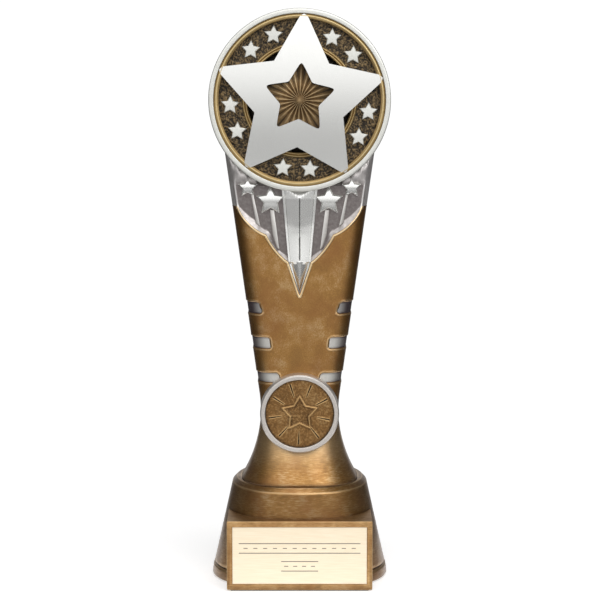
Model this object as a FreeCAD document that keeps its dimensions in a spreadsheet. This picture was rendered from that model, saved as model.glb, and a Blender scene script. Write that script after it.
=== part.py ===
import FreeCAD, Part
import Sketcher
import math
import os

# A tower award: an oval plinth with an engraving plate, a tapering column with a V-shaped
# silver relief, a round medallion at the neck and a round star plaque (the roundel) on top.
# Frame: millimetres, +Z up, -Y is the front, origin on the floor at the middle of the footprint.
# "Front" sizes are distances forward of the XZ plane, so a front of 20 lies at y = -20.

SIZES = [
    # overall
    ("foot_gap", 0.6, "thickness of the felt, which lifts the plinth off the floor"),
    ("depth_shift", 0.4, "plinth centre behind the XZ plane"),
    # plinth
    ("rim_half_width", 35.0, "plinth rim at the floor, across"),
    ("rim_half_depth", 30.9, "plinth rim at the floor, front to back"),
    ("rim_top_half_width", 34.4, "top of the rim, across"),
    ("rim_top_half_depth", 30.2, "top of the rim, front to back"),
    ("rim_height", 4.7, "top of the rim, where the scribed groove starts"),
    ("groove_width", 0.8, "height of the scribed groove"),
    ("groove_depth", 0.6, "depth of the scribed groove"),
    ("plinth_half_width", 34.1, "plinth just above the groove, across"),
    ("plinth_half_depth", 29.7, "plinth just above the groove, front to back"),
    ("plinth_top_half_width", 26.95, "plinth at its top, across"),
    ("plinth_top_half_depth", 28.3, "plinth at its top, front to back"),
    ("plinth_height", 40.0, "top of the plinth"),
    ("plinth_round", 2.6, "rounded shoulder of the plinth"),
    ("plan_power", 2.2, "exponent of the plinth's oval plan"),
    # plaque block and plate
    ("block_half_width", 28.3, "plaque block, across"),
    ("block_front", 31.3, "front of the plaque block"),
    ("block_length", 23.0, "plaque block, front to back"),
    ("block_top", 27.8, "top of the plaque block"),
    ("plate_half_width", 26.1, "engraving plate, across"),
    ("plate_bottom", 3.0, "lower edge of the engraving plate"),
    ("plate_height", 22.4, "engraving plate, up"),
    ("plate_thick", 0.6, "engraving plate thickness"),
    ("adhesive_thick", 0.25, "thickness of the adhesive sheets"),
    ("plate_inset", 0.45, "plate below the front of its frame"),
    ("plate_gap", 0.1, "gap round the plate"),
    # column
    ("neck_height", 68.0, "narrowest point of the column"),
    ("neck_half_width", 15.4, "half width of the column at the neck"),
    ("flare_radius", 55.0, "concave side of the column"),
    ("taper_start", 75.65, "height where the straight taper of the sides starts"),
    ("taper", 0.1406, "growth of the half width per millimetre of height"),
    ("column_front", 17.5, "flat front of the column"),
    ("column_back", 13.0, "flat back of the column"),
    ("front_flare_radius", 86.0, "concave front and back of the column's foot"),
    ("neck_corner", 7.5, "corner radius of the column from the neck up"),
    ("foot_corner", 18.0, "corner radius of the column at the plinth"),
    ("crown_radius", 31.6, "rounded top of the column behind the roundel"),
    # silver relief
    ("shoulder_height", 149.0, "joint between gold column and silver crown"),
    ("shoulder_half_width", 24.07, "outer end of the V outline"),
    ("first_kink_half_width", 12.92, "end of the upper scallop"),
    ("first_kink_height", 138.0, "end of the upper scallop"),
    ("second_kink_half_width", 4.35, "end of the lower scallop"),
    ("second_kink_height", 127.3, "end of the lower scallop"),
    ("tip_height", 114.2, "point of the V"),
    ("upper_scallop_radius", 20.3, "radius of the upper scallop"),
    ("lower_scallop_radius", 29.7, "radius of the lower scallop"),
    ("recess_top", 170.0, "top of the relief recess, behind the roundel"),
    ("floor_front", 15.5, "floor of the relief recess"),
    ("tongue_back_front", 13.0, "back of the crown's tongue in the column"),
    ("blade_top", 158.0, "top of the blade, under the roundel"),
    ("blade_top_half_width", 7.2, "blade at its top"),
    ("blade_low_half_width", 4.27, "blade where it starts to close to its point"),
    ("blade_edge_height", 1.2, "blade edge above the recess floor"),
    ("blade_ridge_height", 2.6, "blade ridge above the recess floor"),
    ("blade_hip_height", 152.3, "where the ridge ends and the hip facet starts"),
    ("hip_lean", 0.3, "how far the hip facet leans back per millimetre of height"),
    ("outer_star_x", 20.1, "outer relief star"),
    ("outer_star_z", 156.3, "outer relief star"),
    ("outer_star_tip", 4.1, "outer relief star, centre to tip"),
    ("inner_star_x", 11.25, "inner relief star"),
    ("inner_star_z", 151.2, "inner relief star"),
    ("inner_star_tip", 5.3, "inner relief star, centre to tip"),
    ("relief_star_thick", 1.9, "relief stars above the recess floor"),
    ("trail_thick", 0.7, "star trails above the recess floor"),
    # side slots
    ("slot_depth", 1.25, "slots below the column's surface"),
    ("inlay_thick", 0.5, "silver strip in the floor of each slot"),
    ("slot_corner", 1.2, "corner radius of the slots"),
    # medallion
    ("medallion_height", 68.6, "centre of the medallion"),
    ("medallion_radius", 15.4, "outside of the medallion ring"),
    ("medallion_bore", 13.4, "inside of the medallion ring"),
    ("medallion_front", 23.5, "front of the medallion ring"),
    ("medallion_back_front", 10.0, "back of the medallion holder"),
    ("disc_radius", 13.3, "centre disc"),
    ("disc_thick", 1.2, "centre disc"),
    ("disc_front", 22.4, "front of the centre disc's field"),
    ("disc_star_tip", 6.9, "star outline on the disc"),
    ("disc_relief", 0.4, "height of the relief on the disc"),
    # roundel
    ("roundel_height", 190.0, "centre of the roundel"),
    ("roundel_turn", -3.0, "turn of the roundel's face, in degrees"),
    ("rim_radius", 35.0, "outside of the roundel"),
    ("rim_bore", 33.0, "inside of the silver rim"),
    ("rim_front", 21.5, "front of the silver rim"),
    ("roundel_back_front", 12.5, "back of the roundel"),
    ("bead_outer", 32.95, "gold bead ring, outside"),
    ("bead_inner", 31.1, "gold bead ring, inside"),
    ("bead_front", 20.9, "gold bead ring, front"),
    ("field_front", 18.2, "stippled field"),
    ("well_front", 16.0, "floor of the centre well"),
    ("inner_ring_outer", 22.04, "bronze inner ring, outside"),
    ("inner_ring_inner", 20.14, "bronze inner ring, inside"),
    ("inner_ring_front", 19.2, "bronze inner ring, front"),
    ("star_tip", 34.8, "large star, centre to its virtual tip"),
    ("star_notch", 17.9, "large star, centre to notch"),
    ("star_trim", 32.87, "radius that trims the large star's tips"),
    ("star_front", 22.6, "front of the large star"),
    ("star_bevel", 0.45, "bevel round the large star"),
    ("star_clear", 0.05, "clearance between the star and what it bridges"),
    ("window_tip", 14.6, "star window, centre to tip"),
    ("window_notch", 7.6, "star window, centre to notch"),
    ("window_rise", 0.6, "centre of the star window above the roundel's centre"),
    ("insert_front", 20.6, "front of the sunburst insert"),
    ("sunburst_depth", 0.5, "depth of the sunburst's grooves"),
    ("small_star_tip", 3.8, "small star, centre to tip"),
    ("small_star_radius", 26.75, "circle of the small stars"),
    ("small_star_front", 19.9, "front of the small stars"),
    # fixings
    ("bolt_y", 2.0, "bolt axis behind the XZ plane"),
    ("bolt_radius", 3.0, "column bolt"),
    ("bolt_head_half_flat", 5.0, "half the width across flats of the bolt's head"),
    ("bolt_head_height", 4.0, "bolt head"),
    ("bolt_top", 58.0, "end of the column bolt"),
    ("counterbore_top", 14.0, "roof of the counterbore in the plinth"),
    ("counterbore_radius", 7.6, "counterbore in the plinth"),
    ("washer_radius", 7.0, "bolt washer"),
    ("washer_thick", 1.6, "bolt washer"),
    ("bolt_clear", 0.3, "clearance round the bolt"),
    ("insert_radius", 4.5, "brass thread insert"),
    ("insert_length", 16.0, "brass thread insert"),
    ("dowel_radius", 2.0, "foot dowels"),
    ("dowel_x", 13.0, "foot dowels"),
    ("dowel_half_length", 7.0, "foot dowels, each side of the joint"),
    ("pin_radius", 1.5, "roundel pins"),
    ("pin_x", 12.0, "roundel pins"),
    ("pin_z", 196.0, "roundel pins"),
    ("pin_front", 15.2, "front end of the roundel pins"),
    ("pin_back_front", 7.0, "back end of the roundel pins"),
]

# Side slots: name, inner end at the top and the bottom edge, top and bottom height.
SLOTS = [
    ("upper", 15.97, 14.6, 111.6, 107.0),
    ("middle", 11.69, 11.03, 97.8, 93.3),
    ("lower", 8.15, 7.49, 83.7, 79.9),
]

# Star trails, right-hand side: (across, height) of each corner, walked round the trail.
OUTER_TRAIL = [(17.9, 152.9), (15.3, 141.5), (16.9, 142.8), (18.9, 152.9)]
INNER_TRAIL = [(9.9, 147.2), (7.9, 132.4), (9.0, 133.4), (10.4, 138.0), (11.6, 147.2)]

SMALL_STAR_PAIRS = 5      # pairs of small stars round the roundel
SMALL_STAR_FIRST = 38.8   # middle of the first pair, clockwise from the top
SMALL_STAR_SPREAD = 11.2  # each star from the middle of its pair
SUNBURST_RIDGES = 24
DISC_RAYS = 9
FLARE_STEPS = 5           # sections between the foot and the start of the straight taper
SHOULDER_STEPS = 5        # sections up the rounded shoulder of the plinth
FAR = 60.0                # cutting tools run this far past the object

doc = FreeCAD.newDocument("star_tower_award")
sheet = doc.addObject("Spreadsheet::Sheet", "sizes")
finished = []


def fill_sheet():
    for row, (alias, size, note) in enumerate(SIZES, start=1):
        sheet.set("A%d" % row, note)
        sheet.set("B%d" % row, str(size))
        sheet.setAlias("B%d" % row, alias)
    doc.recompute()


def value(expression):
    """The number that an expression of the sheet's cells works out to."""
    result = sheet.evalExpression(expression)
    return float(getattr(result, "Value", result))


def cell(alias):
    return "sizes." + alias


def keep(piece, label):
    """Name a finished sub-part; its label is its file's name."""
    piece.Label = label
    finished.append(piece)
    return piece


# ---------------------------------------------------------------- sketch helpers

def new_body(name):
    return doc.addObject("PartDesign::Body", name)


def new_sketch(body, name, plane, shift=None, turn=None):
    """A sketch on one of the body's own planes, shifted by expressions in the plane's frame."""
    sketch = body.newObject("Sketcher::SketchObject", name)
    origin_plane = [p for p in body.Origin.OriginFeatures if p.Role == plane][0]
    sketch.AttachmentSupport = [(origin_plane, "")]
    sketch.MapMode = "FlatFace"
    for axis, expression in (shift or {}).items():
        sketch.setExpression("AttachmentOffset.Base." + axis, expression)
    if turn:
        sketch.setExpression("AttachmentOffset.Rotation.Angle", turn)
    doc.recompute()
    return sketch


def front_sketch(body, name, front, height="0", turn=None):
    """A sketch seen from the front, at a distance forward, centred at a height."""
    return new_sketch(body, name, "XZ_Plane", {"z": front, "y": height}, turn)


def bind(sketch, constraint, expression):
    number = sketch.addConstraint(constraint)
    sketch.setExpression("Constraints[%d]" % number, expression)


def bind_point(sketch, geometry, point, across, up):
    """Fix a point of a sketch at two expressions, measured from the sketch's origin."""
    for kind, expression in (("DistanceX", across), ("DistanceY", up)):
        constraint = Sketcher.Constraint(kind, -1, 1, geometry, point, value(expression))
        bind(sketch, constraint, expression)


def draw_outline(sketch, corners, radii=None):
    """A closed outline; side i runs from corner i to the next, as an arc where radii has i."""
    radii = radii or {}
    first = sketch.GeometryCount
    spots = [FreeCAD.Vector(value(x), value(y), 0) for x, y in corners]
    count = len(spots)
    for index, start in enumerate(spots):
        end = spots[(index + 1) % count]
        if index in radii:
            sketch.addGeometry(arc_between(start, end, value(radii[index])), False)
        else:
            sketch.addGeometry(Part.LineSegment(start, end), False)
    for index, (across, up) in enumerate(corners):
        this_end, next_start = 2, 1
        if index in radii and value(radii[index]) < 0:
            this_end = 1
        following = (index + 1) % count
        if following in radii and value(radii[following]) < 0:
            next_start = 2
        joint = ("Coincident", first + index, this_end, first + following, next_start)
        sketch.addConstraint(Sketcher.Constraint(*joint))
        own_start = 2 if index in radii and value(radii[index]) < 0 else 1
        bind_point(sketch, first + index, own_start, across, up)
    for index, radius in radii.items():
        size = "abs(%s)" % radius
        constraint = Sketcher.Constraint("Radius", first + index, value(size))
        bind(sketch, constraint, size)


def arc_between(start, end, radius):
    """An arc from start to end: anticlockwise for a positive radius, clockwise for a negative."""
    chord = end - start
    half = chord.Length / 2.0
    rise = math.sqrt(max(radius * radius - half * half, 0.0))
    left = FreeCAD.Vector(-chord.y, chord.x, 0).normalize()
    side = 1.0 if radius > 0 else -1.0
    centre = (start + end) * 0.5 + left * (rise * side)
    first, last = (start, end) if radius > 0 else (end, start)
    circle = Part.Circle(centre, FreeCAD.Vector(0, 0, 1), abs(radius))
    angles = [math.atan2(p.y - centre.y, p.x - centre.x) for p in (first, last)]
    return Part.ArcOfCircle(circle, angles[0], angles[1])


def draw_circle(sketch, radius, across="0", up="0"):
    index = sketch.GeometryCount
    centre = FreeCAD.Vector(value(across), value(up), 0)
    sketch.addGeometry(Part.Circle(centre, FreeCAD.Vector(0, 0, 1), value(radius)), False)
    bind_point(sketch, index, 3, across, up)
    bind(sketch, Sketcher.Constraint("Radius", index, value(radius)), radius)


def star_corners(tip, notch, across="0", up="0", turn=0.0):
    """Ten corners of a five-pointed star with one tip up, turned clockwise by turn degrees."""
    corners = []
    for step in range(10):
        reach = tip if step % 2 == 0 else notch
        angle = "(%g deg)" % (turn + 36.0 * step)
        corners.append(("%s + %s * sin%s" % (across, reach, angle),
                        "%s + %s * cos%s" % (up, reach, angle)))
    return corners


# ---------------------------------------------------------------- feature helpers

def pad(body, name, sketch, length, backwards=False):
    feature = body.newObject("PartDesign::Pad", name)
    feature.Profile = sketch
    feature.setExpression("Length", length)
    feature.Reversed = backwards
    doc.recompute()
    return feature


def pocket(body, name, sketch, length, backwards=False):
    """Cut a sketch into the body, and make sure that it really took something away."""
    before = body.Tip.Shape.Volume
    feature = body.newObject("PartDesign::Pocket", name)
    feature.Profile = sketch
    feature.setExpression("Length", length)
    feature.Reversed = backwards
    doc.recompute()
    if feature.Shape.Volume >= before:
        raise RuntimeError(name + " cuts nothing")
    return feature


def prism(name, front, length, corners, height="0", radii=None, turn=None):
    """A body of one outline seen from the front, running back from a front distance."""
    body = new_body(name)
    sketch = front_sketch(body, name + "_outline", front, height, turn)
    draw_outline(sketch, corners, radii)
    pad(body, name + "_pad", sketch, length, backwards=True)
    return body


def cylinder(name, radius, length, across="0", depth="0", bottom="0"):
    """An upright cylinder standing on a height."""
    shape = doc.addObject("Part::Cylinder", name)
    shape.setExpression("Radius", radius)
    shape.setExpression("Height", length)
    shape.setExpression("Placement.Base.x", across)
    shape.setExpression("Placement.Base.y", depth)
    shape.setExpression("Placement.Base.z", bottom)
    return shape


def front_cylinder(name, radius, front, back_front, across="0", height="0"):
    """A cylinder lying front to back, between two front distances."""
    shape = doc.addObject("Part::Cylinder", name)
    shape.Placement = FreeCAD.Placement(FreeCAD.Vector(), FreeCAD.Rotation(FreeCAD.Vector(1, 0, 0), -90))
    shape.setExpression("Radius", radius)
    shape.setExpression("Height", "%s - %s" % (front, back_front))
    shape.setExpression("Placement.Base.x", across)
    shape.setExpression("Placement.Base.y", "-(%s)" % front)
    shape.setExpression("Placement.Base.z", height)
    return shape


def box(name, half_width, front, back, bottom, top):
    """A box centred across, between front and back distances and two heights."""
    shape = doc.addObject("Part::Box", name)
    shape.setExpression("Length", "2 * (%s)" % half_width)
    shape.setExpression("Width", "(%s) + (%s)" % (front, back))
    shape.setExpression("Height", "(%s) - (%s)" % (top, bottom))
    shape.setExpression("Placement.Base.x", "-(%s)" % half_width)
    shape.setExpression("Placement.Base.y", "-(%s)" % front)
    shape.setExpression("Placement.Base.z", bottom)
    return shape


def combine(kind, name, base, tool):
    shape = doc.addObject("Part::" + kind, name)
    shape.Base = base
    shape.Tool = tool
    return shape


def cut(name, base, tool):
    return combine("Cut", name, base, tool)


def common(name, base, tool):
    return combine("Common", name, base, tool)


def cut_all(name, base, tools):
    """Cut several tools one after another; the last result takes the name."""
    shape = base
    for number, tool in enumerate(tools, start=1):
        last = number == len(tools)
        shape = cut(name if last else "%s_step_%d" % (name, number), shape, tool)
    doc.recompute()
    return shape


def join(name, shapes):
    group = doc.addObject("Part::Compound", name)
    group.Links = shapes
    return group


# ---------------------------------------------------------------- plinth

def oval(name, half_width, half_depth, height):
    """A superellipse in plan, which no sketch curve or primitive draws, as a closed spline."""
    across, depth = value(half_width), value(half_depth)
    power = 2.0 / value(cell("plan_power"))
    spots, steps = [], 48
    for step in range(steps):
        angle = 2.0 * math.pi * step / steps
        x = across * math.copysign(abs(math.cos(angle)) ** power, math.cos(angle))
        y = depth * math.copysign(abs(math.sin(angle)) ** power, math.sin(angle))
        spots.append(FreeCAD.Vector(x, y, 0))
    curve = Part.BSplineCurve()
    curve.interpolate(Points=spots, PeriodicFlag=True,
                      Parameters=[float(step) for step in range(steps + 1)])
    ring = doc.addObject("Part::Feature", name)
    ring.Shape = Part.Wire([curve.toShape()])
    ring.Placement = FreeCAD.Placement(
        FreeCAD.Vector(0, value(cell("depth_shift")), value(height)), FreeCAD.Rotation())
    return ring


def loft(name, sections, ruled=True):
    shape = doc.addObject("Part::Loft", name)
    shape.Sections = sections
    shape.Solid = True
    shape.Ruled = ruled
    doc.recompute()
    return shape


def oval_stage(name, low, high):
    """A tapering oval stage between two sections of (half width, half depth, height)."""
    return loft(name, [oval(name + "_low", *low), oval(name + "_high", *high)])


def shoulder_sections():
    """Sections up the quarter round at the top of the plinth."""
    sections = []
    for step in range(SHOULDER_STEPS + 1):
        angle = 90.0 * step / SHOULDER_STEPS
        inset = "sizes.plinth_round * (1 - cos(%g deg))" % angle
        height = "sizes.plinth_height - sizes.plinth_round * (1 - sin(%g deg))" % angle
        sections.append(oval("plinth_shoulder_%d" % step,
                             "sizes.plinth_top_half_width - " + inset,
                             "sizes.plinth_top_half_depth - " + inset, height))
    return sections


def plinth_stages():
    groove_top = "sizes.rim_height + sizes.groove_width"
    rim = oval_stage("plinth_rim",
                     (cell("rim_half_width"), cell("rim_half_depth"), cell("foot_gap")),
                     (cell("rim_top_half_width"), cell("rim_top_half_depth"), cell("rim_height")))
    waist_size = ("sizes.plinth_half_width - sizes.groove_depth",
                  "sizes.plinth_half_depth - sizes.groove_depth")
    waist = oval_stage("plinth_waist", waist_size + (cell("rim_height"),),
                       waist_size + (groove_top,))
    upper = oval_stage("plinth_upper",
                       (cell("plinth_half_width"), cell("plinth_half_depth"), groove_top),
                       (cell("plinth_top_half_width"), cell("plinth_top_half_depth"),
                        "sizes.plinth_height - sizes.plinth_round"))
    shoulder = loft("plinth_shoulder", shoulder_sections(), ruled=False)
    stages = rim
    for number, stage in enumerate((waist, upper, shoulder), start=1):
        stages = combine("Fuse", "plinth_stages_%d" % number, stages, stage)
    return stages


def block_space():
    """The notch in the plinth that the plaque block fills."""
    return box("block_space", cell("block_half_width"), "sizes.block_front + 5",
               "sizes.block_length - sizes.block_front", cell("foot_gap"), cell("block_top"))


def make_plinth():
    counterbore = cylinder("plinth_counterbore", cell("counterbore_radius"),
                           "sizes.counterbore_top - sizes.foot_gap", depth=cell("bolt_y"),
                           bottom=cell("foot_gap"))
    bolt_hole = cylinder("plinth_bolt_hole", "sizes.bolt_radius + sizes.bolt_clear",
                         cell("plinth_height"), depth=cell("bolt_y"))
    tools = [block_space(), counterbore, bolt_hole, foot_dowel_pair("plinth_dowel_holes")]
    keep(cut_all("plinth_piece", plinth_stages(), tools), "plinth")


def make_felt():
    outline = oval_stage("felt_oval",
                         ("sizes.rim_half_width - 1.4", "sizes.rim_half_depth - 1.4", "0"),
                         ("sizes.rim_half_width - 1.4", "sizes.rim_half_depth - 1.4",
                          cell("foot_gap")))
    tongue = box("felt_tongue", "sizes.block_half_width - 1.4", "sizes.block_front - 1.4",
                 "0", "0", cell("foot_gap"))
    keep(combine("Fuse", "felt_piece", outline, tongue), "base_felt")


# ---------------------------------------------------------------- plaque

def make_plaque():
    block = box("block_solid", cell("block_half_width"), cell("block_front"),
                "sizes.block_length - sizes.block_front", cell("foot_gap"), cell("block_top"))
    recess_depth = "(sizes.plate_inset + sizes.plate_thick + sizes.adhesive_thick)"
    recess = box("plate_recess", "sizes.plate_half_width + sizes.plate_gap",
                 "sizes.block_front + 1", "%s - sizes.block_front" % recess_depth,
                 "sizes.plate_bottom - sizes.plate_gap",
                 "sizes.plate_bottom + sizes.plate_height + sizes.plate_gap")
    keep(cut("block_piece", block, recess), "plaque_block")
    plate_front = "(sizes.block_front - sizes.plate_inset)"
    plate = box("plate_piece", cell("plate_half_width"), plate_front,
                "sizes.plate_thick - %s" % plate_front, cell("plate_bottom"),
                "sizes.plate_bottom + sizes.plate_height")
    keep(plate, "engraving_plate")
    glue_front = "(%s - sizes.plate_thick)" % plate_front
    glue = box("plate_glue", "sizes.plate_half_width - 0.5", glue_front,
               "sizes.adhesive_thick - %s" % glue_front, "sizes.plate_bottom + 0.5",
               "sizes.plate_bottom + sizes.plate_height - 0.5")
    keep(glue, "plate_adhesive")


# ---------------------------------------------------------------- column

def column_section(body, name, height, inset):
    """One rounded-rectangle section of the column; inset shrinks it on every side."""
    flare_up = "max(sizes.taper_start - (%s), 0)" % height
    curve = ("(sizes.flare_radius - sqrt(sizes.flare_radius ^ 2"
             " - ((%s) - sizes.neck_height) ^ 2))" % height)
    if value(height) >= value(cell("taper_start")) - 0.001:
        curve = ("(sizes.flare_radius - sqrt(sizes.flare_radius ^ 2"
                 " - (sizes.taper_start - sizes.neck_height) ^ 2)"
                 " + sizes.taper * ((%s) - sizes.taper_start))" % height)
    swell = ("(sizes.front_flare_radius - sqrt(sizes.front_flare_radius ^ 2"
             " - (%s) ^ 2))" % flare_up)
    half_width = "(sizes.neck_half_width + %s - %s)" % (curve, inset)
    front = "(sizes.column_front + %s - %s)" % (swell, inset)
    back = "(sizes.column_back + %s - %s)" % (swell, inset)
    corner = ("(sizes.neck_corner + (sizes.foot_corner - sizes.neck_corner) * (%s)"
              " / (sizes.taper_start - sizes.plinth_height) - %s)" % (flare_up, inset))
    sketch = new_sketch(body, name, "XY_Plane", {"z": height})
    near, far = "%s - %s" % (half_width, corner), half_width
    low, low_in = "-%s" % front, "-%s + %s" % (front, corner)
    high, high_in = back, "%s - %s" % (back, corner)
    corners = [("-(%s)" % near, low), (near, low), (far, low_in), (far, high_in),
               (near, high), ("-(%s)" % near, high), ("-%s" % far, high_in),
               ("-%s" % far, low_in)]
    draw_outline(sketch, corners, {1: corner, 3: corner, 5: corner, 7: corner})
    return sketch


def column_form(name, inset):
    """The whole column from plinth to rounded top, shrunk on every side by an inset."""
    body = new_body(name)
    heights = []
    for step in range(FLARE_STEPS + 1):
        share = step / FLARE_STEPS
        heights.append("sizes.plinth_height + %g * (sizes.taper_start - sizes.plinth_height)"
                       % share)
    sections = [column_section(body, "%s_section_%d" % (name, number), height, inset)
                for number, height in enumerate(heights)]
    flare = body.newObject("PartDesign::AdditiveLoft", name + "_flare")
    flare.Profile = sections[0]
    flare.Sections = sections[1:]
    doc.recompute()
    low = column_section(body, name + "_taper_low", cell("taper_start"), inset)
    high = column_section(body, name + "_taper_high", "sizes.roundel_height + sizes.rim_radius",
                          inset)
    straight = body.newObject("PartDesign::AdditiveLoft", name + "_straight")
    straight.Profile = low
    straight.Sections = [high]
    straight.Ruled = True
    doc.recompute()
    dome = front_sketch(body, name + "_dome", str(FAR))
    reach = "(sizes.crown_radius - %s)" % inset
    tangent = value("atan(sizes.taper)")
    side = "%s * cos(%g deg)" % (reach, tangent)
    spring = "sizes.roundel_height - %s * sin(%g deg)" % (reach, tangent)
    crest = "sizes.roundel_height + %s" % reach
    corners = [("-%g" % FAR, spring), ("-(%s)" % side, spring), ("0", crest), (side, spring),
               ("%g" % FAR, spring), ("%g" % FAR, "%g * 5" % FAR), ("-%g" % FAR, "%g * 5" % FAR)]
    draw_outline(dome, corners, {1: "-(%s)" % reach, 2: "-(%s)" % reach})
    pocket(body, name + "_dome_cut", dome, "%g * 2" % FAR)
    return body


def slot_pair(name, top_end, bottom_end, top, bottom):
    """Both cutting prisms of one slot height, running out past the column's sides."""
    radius = value(cell("slot_corner"))
    sides = []
    for label, side in (("left", -1), ("right", 1)):
        corners = [("%g" % (side * x), "%g" % z) for x, z in
                   ((top_end, top), (bottom_end, bottom), (FAR, bottom), (FAR, top))]
        tool = prism("%s_%s" % (name, label), str(FAR), "%g * 2" % FAR, corners)
        inner = [number for number, edge in enumerate(tool.Shape.Edges, start=1)
                 if edge.BoundBox.YLength > FAR
                 and abs(edge.BoundBox.Center.x) < FAR - 1]
        rounded = doc.addObject("Part::Fillet", "%s_%s_round" % (name, label))
        rounded.Base = tool
        rounded.Edges = [(number, radius, radius) for number in inner]
        sides.append(rounded)
    doc.recompute()
    return join(name + "_pair", sides)


def v_outline(top_points):
    """The V seen from the front, closed along the given points above the shoulder."""
    points = [("0", cell("tip_height")),
              (cell("second_kink_half_width"), cell("second_kink_height")),
              (cell("first_kink_half_width"), cell("first_kink_height")),
              (cell("shoulder_half_width"), cell("shoulder_height"))]
    mirrored = [("-" + x, z) for x, z in points[:0:-1]]
    return points + top_points + mirrored


def v_prism(name, back_front, top_points):
    """A cutting prism of the V from in front of the column back to a front distance."""
    corners = v_outline(top_points)
    left = len(corners) - 3
    radii = {1: "-sizes.lower_scallop_radius", 2: "-sizes.upper_scallop_radius",
             left: "-sizes.upper_scallop_radius", left + 1: "-sizes.lower_scallop_radius"}
    return prism(name, str(FAR), "%g - %s" % (FAR, back_front), corners, radii=radii)


def make_column(form, root_form, floor_form, slots):
    below = box("below_shoulder", str(FAR), str(FAR), str(FAR), cell("plinth_height"),
                cell("shoulder_height"))
    tongue_space = v_prism("tongue_space", cell("tongue_back_front"), [])
    medallion_seat = medallion_space()
    bolt_hole = cylinder("column_bolt_hole", "sizes.bolt_radius + sizes.bolt_clear", "22",
                         depth=cell("bolt_y"), bottom=cell("plinth_height"))
    insert_hole = cylinder("column_insert_hole", cell("insert_radius"), cell("insert_length"),
                           depth=cell("bolt_y"), bottom=cell("plinth_height"))
    slot_tools = [cut(slot.Name + "_cut", slot, root_form) for slot in slots]
    tools = slot_tools + [tongue_space, medallion_seat, bolt_hole, insert_hole,
                          foot_dowel_pair("column_dowel_holes")]
    keep(cut_all("column_piece", common("column_low", form, below), tools), "column_body")
    strip = cut("slot_strip", floor_form, root_form)
    for slot, (name, *_) in zip(slots, SLOTS):
        inlay = common(name + "_inlay_full", slot, strip)
        keep(cut(name + "_inlay_piece", inlay, medallion_seat), name + "_side_inlays")
    return tongue_space


def roundel_space(name):
    return front_cylinder(name, cell("rim_radius"), str(FAR), cell("roundel_back_front"),
                          height=cell("roundel_height"))


def medallion_space():
    return front_cylinder("medallion_space", cell("medallion_radius"), str(FAR),
                          cell("medallion_back_front"), height=cell("medallion_height"))


def make_crown(form, tongue_space):
    """The silver upper column; gives back the recess prism, which bounds what stands in it."""
    above = box("above_shoulder", str(FAR), str(FAR), str(FAR), cell("shoulder_height"),
                "sizes.roundel_height + %g" % FAR)
    outline = combine("Fuse", "crown_outline", above, tongue_space)
    wall = "(sizes.shoulder_half_width + sizes.taper * (sizes.recess_top - sizes.shoulder_height))"
    recess = v_prism("recess_space", cell("floor_front"),
                     [(wall, cell("recess_top")), ("-" + wall, cell("recess_top"))])
    blank = common("crown_blank", form, outline)
    tools = [recess, roundel_space("crown_roundel_space"), roundel_pin_pair("crown_pin_holes")]
    keep(cut_all("crown_piece", blank, tools), "column_crown")
    return recess


def blade_section(body, name, height, half_width, edge, ridge):
    """A low five-sided section with a ridge, standing on the recess floor."""
    sketch = new_sketch(body, name, "XY_Plane", {"z": height})
    base = "-sizes.floor_front"
    corners = [("-(%s)" % half_width, base), ("-(%s) * 0.85" % half_width, "%s - %s" % (base, edge)),
               ("0", "%s - %s" % (base, ridge)), ("(%s) * 0.85" % half_width, "%s - %s" % (base, edge)),
               (half_width, base)]
    draw_outline(sketch, corners)
    return sketch


def make_blade():
    body = new_body("blade")
    edge, ridge = cell("blade_edge_height"), cell("blade_ridge_height")
    top = blade_section(body, "blade_top", cell("blade_top"), cell("blade_top_half_width"),
                        edge, ridge)
    low = blade_section(body, "blade_low", cell("second_kink_height"),
                        cell("blade_low_half_width"), edge, ridge)
    point = blade_section(body, "blade_point", "sizes.tip_height + 1", "0.25", "0.1", "0.2")
    shaft = body.newObject("PartDesign::AdditiveLoft", "blade_shaft")
    shaft.Profile = top
    shaft.Sections = [low, point]
    shaft.Ruled = True
    doc.recompute()
    cut_blade_hip(body)
    keep(cut("blade_piece", body, roundel_space("blade_roundel_space")), "centre_blade")


def cut_blade_hip(body):
    """Slope the ridge back above the hip height, which leaves a three-cornered facet."""
    ridge = "(sizes.floor_front + sizes.blade_ridge_height)"
    rise = "12"
    sketch = new_sketch(body, "blade_hip", "YZ_Plane", {"z": str(FAR)})
    draw_outline(sketch, [("-" + ridge, cell("blade_hip_height")),
                          ("sizes.hip_lean * %s - %s" % (rise, ridge),
                           "sizes.blade_hip_height + " + rise),
                          ("-%g" % FAR, "sizes.blade_hip_height + " + rise),
                          ("-%g" % FAR, cell("blade_hip_height"))])
    pocket(body, "blade_hip_cut", sketch, "%g * 2" % FAR)


def make_relief_stars():
    for name in ("outer", "inner"):
        tip = "sizes.%s_star_tip" % name
        front = "sizes.floor_front + sizes.relief_star_thick"
        pair = []
        for label, side in (("left", "-"), ("right", "")):
            corners = star_corners(tip, tip + " * 0.5",
                                   "%ssizes.%s_star_x" % (side, name), "sizes.%s_star_z" % name)
            star = prism("%s_star_%s" % (name, label), front, cell("relief_star_thick"), corners)
            pair.append(star)
        group = join(name + "_star_pair", pair)
        trimmed = cut(name + "_star_piece", group, roundel_space(name + "_star_roundel_space"))
        keep(trimmed, name + "_relief_stars")


def make_trails(recess):
    for name, corners in (("outer", OUTER_TRAIL), ("inner", INNER_TRAIL)):
        front = "sizes.floor_front + sizes.trail_thick"
        pair = []
        for label, side in (("left", -1), ("right", 1)):
            points = [("%g" % (side * x), "%g" % z) for x, z in corners]
            pair.append(prism("%s_trail_%s" % (name, label), front, cell("trail_thick"), points))
        inside = common(name + "_trail_inside", join(name + "_trail_pair", pair), recess)
        star = [piece for piece in finished if piece.Label == name + "_relief_stars"][0]
        keep(cut(name + "_trail_piece", inside, star), name + "_star_trails")


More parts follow.
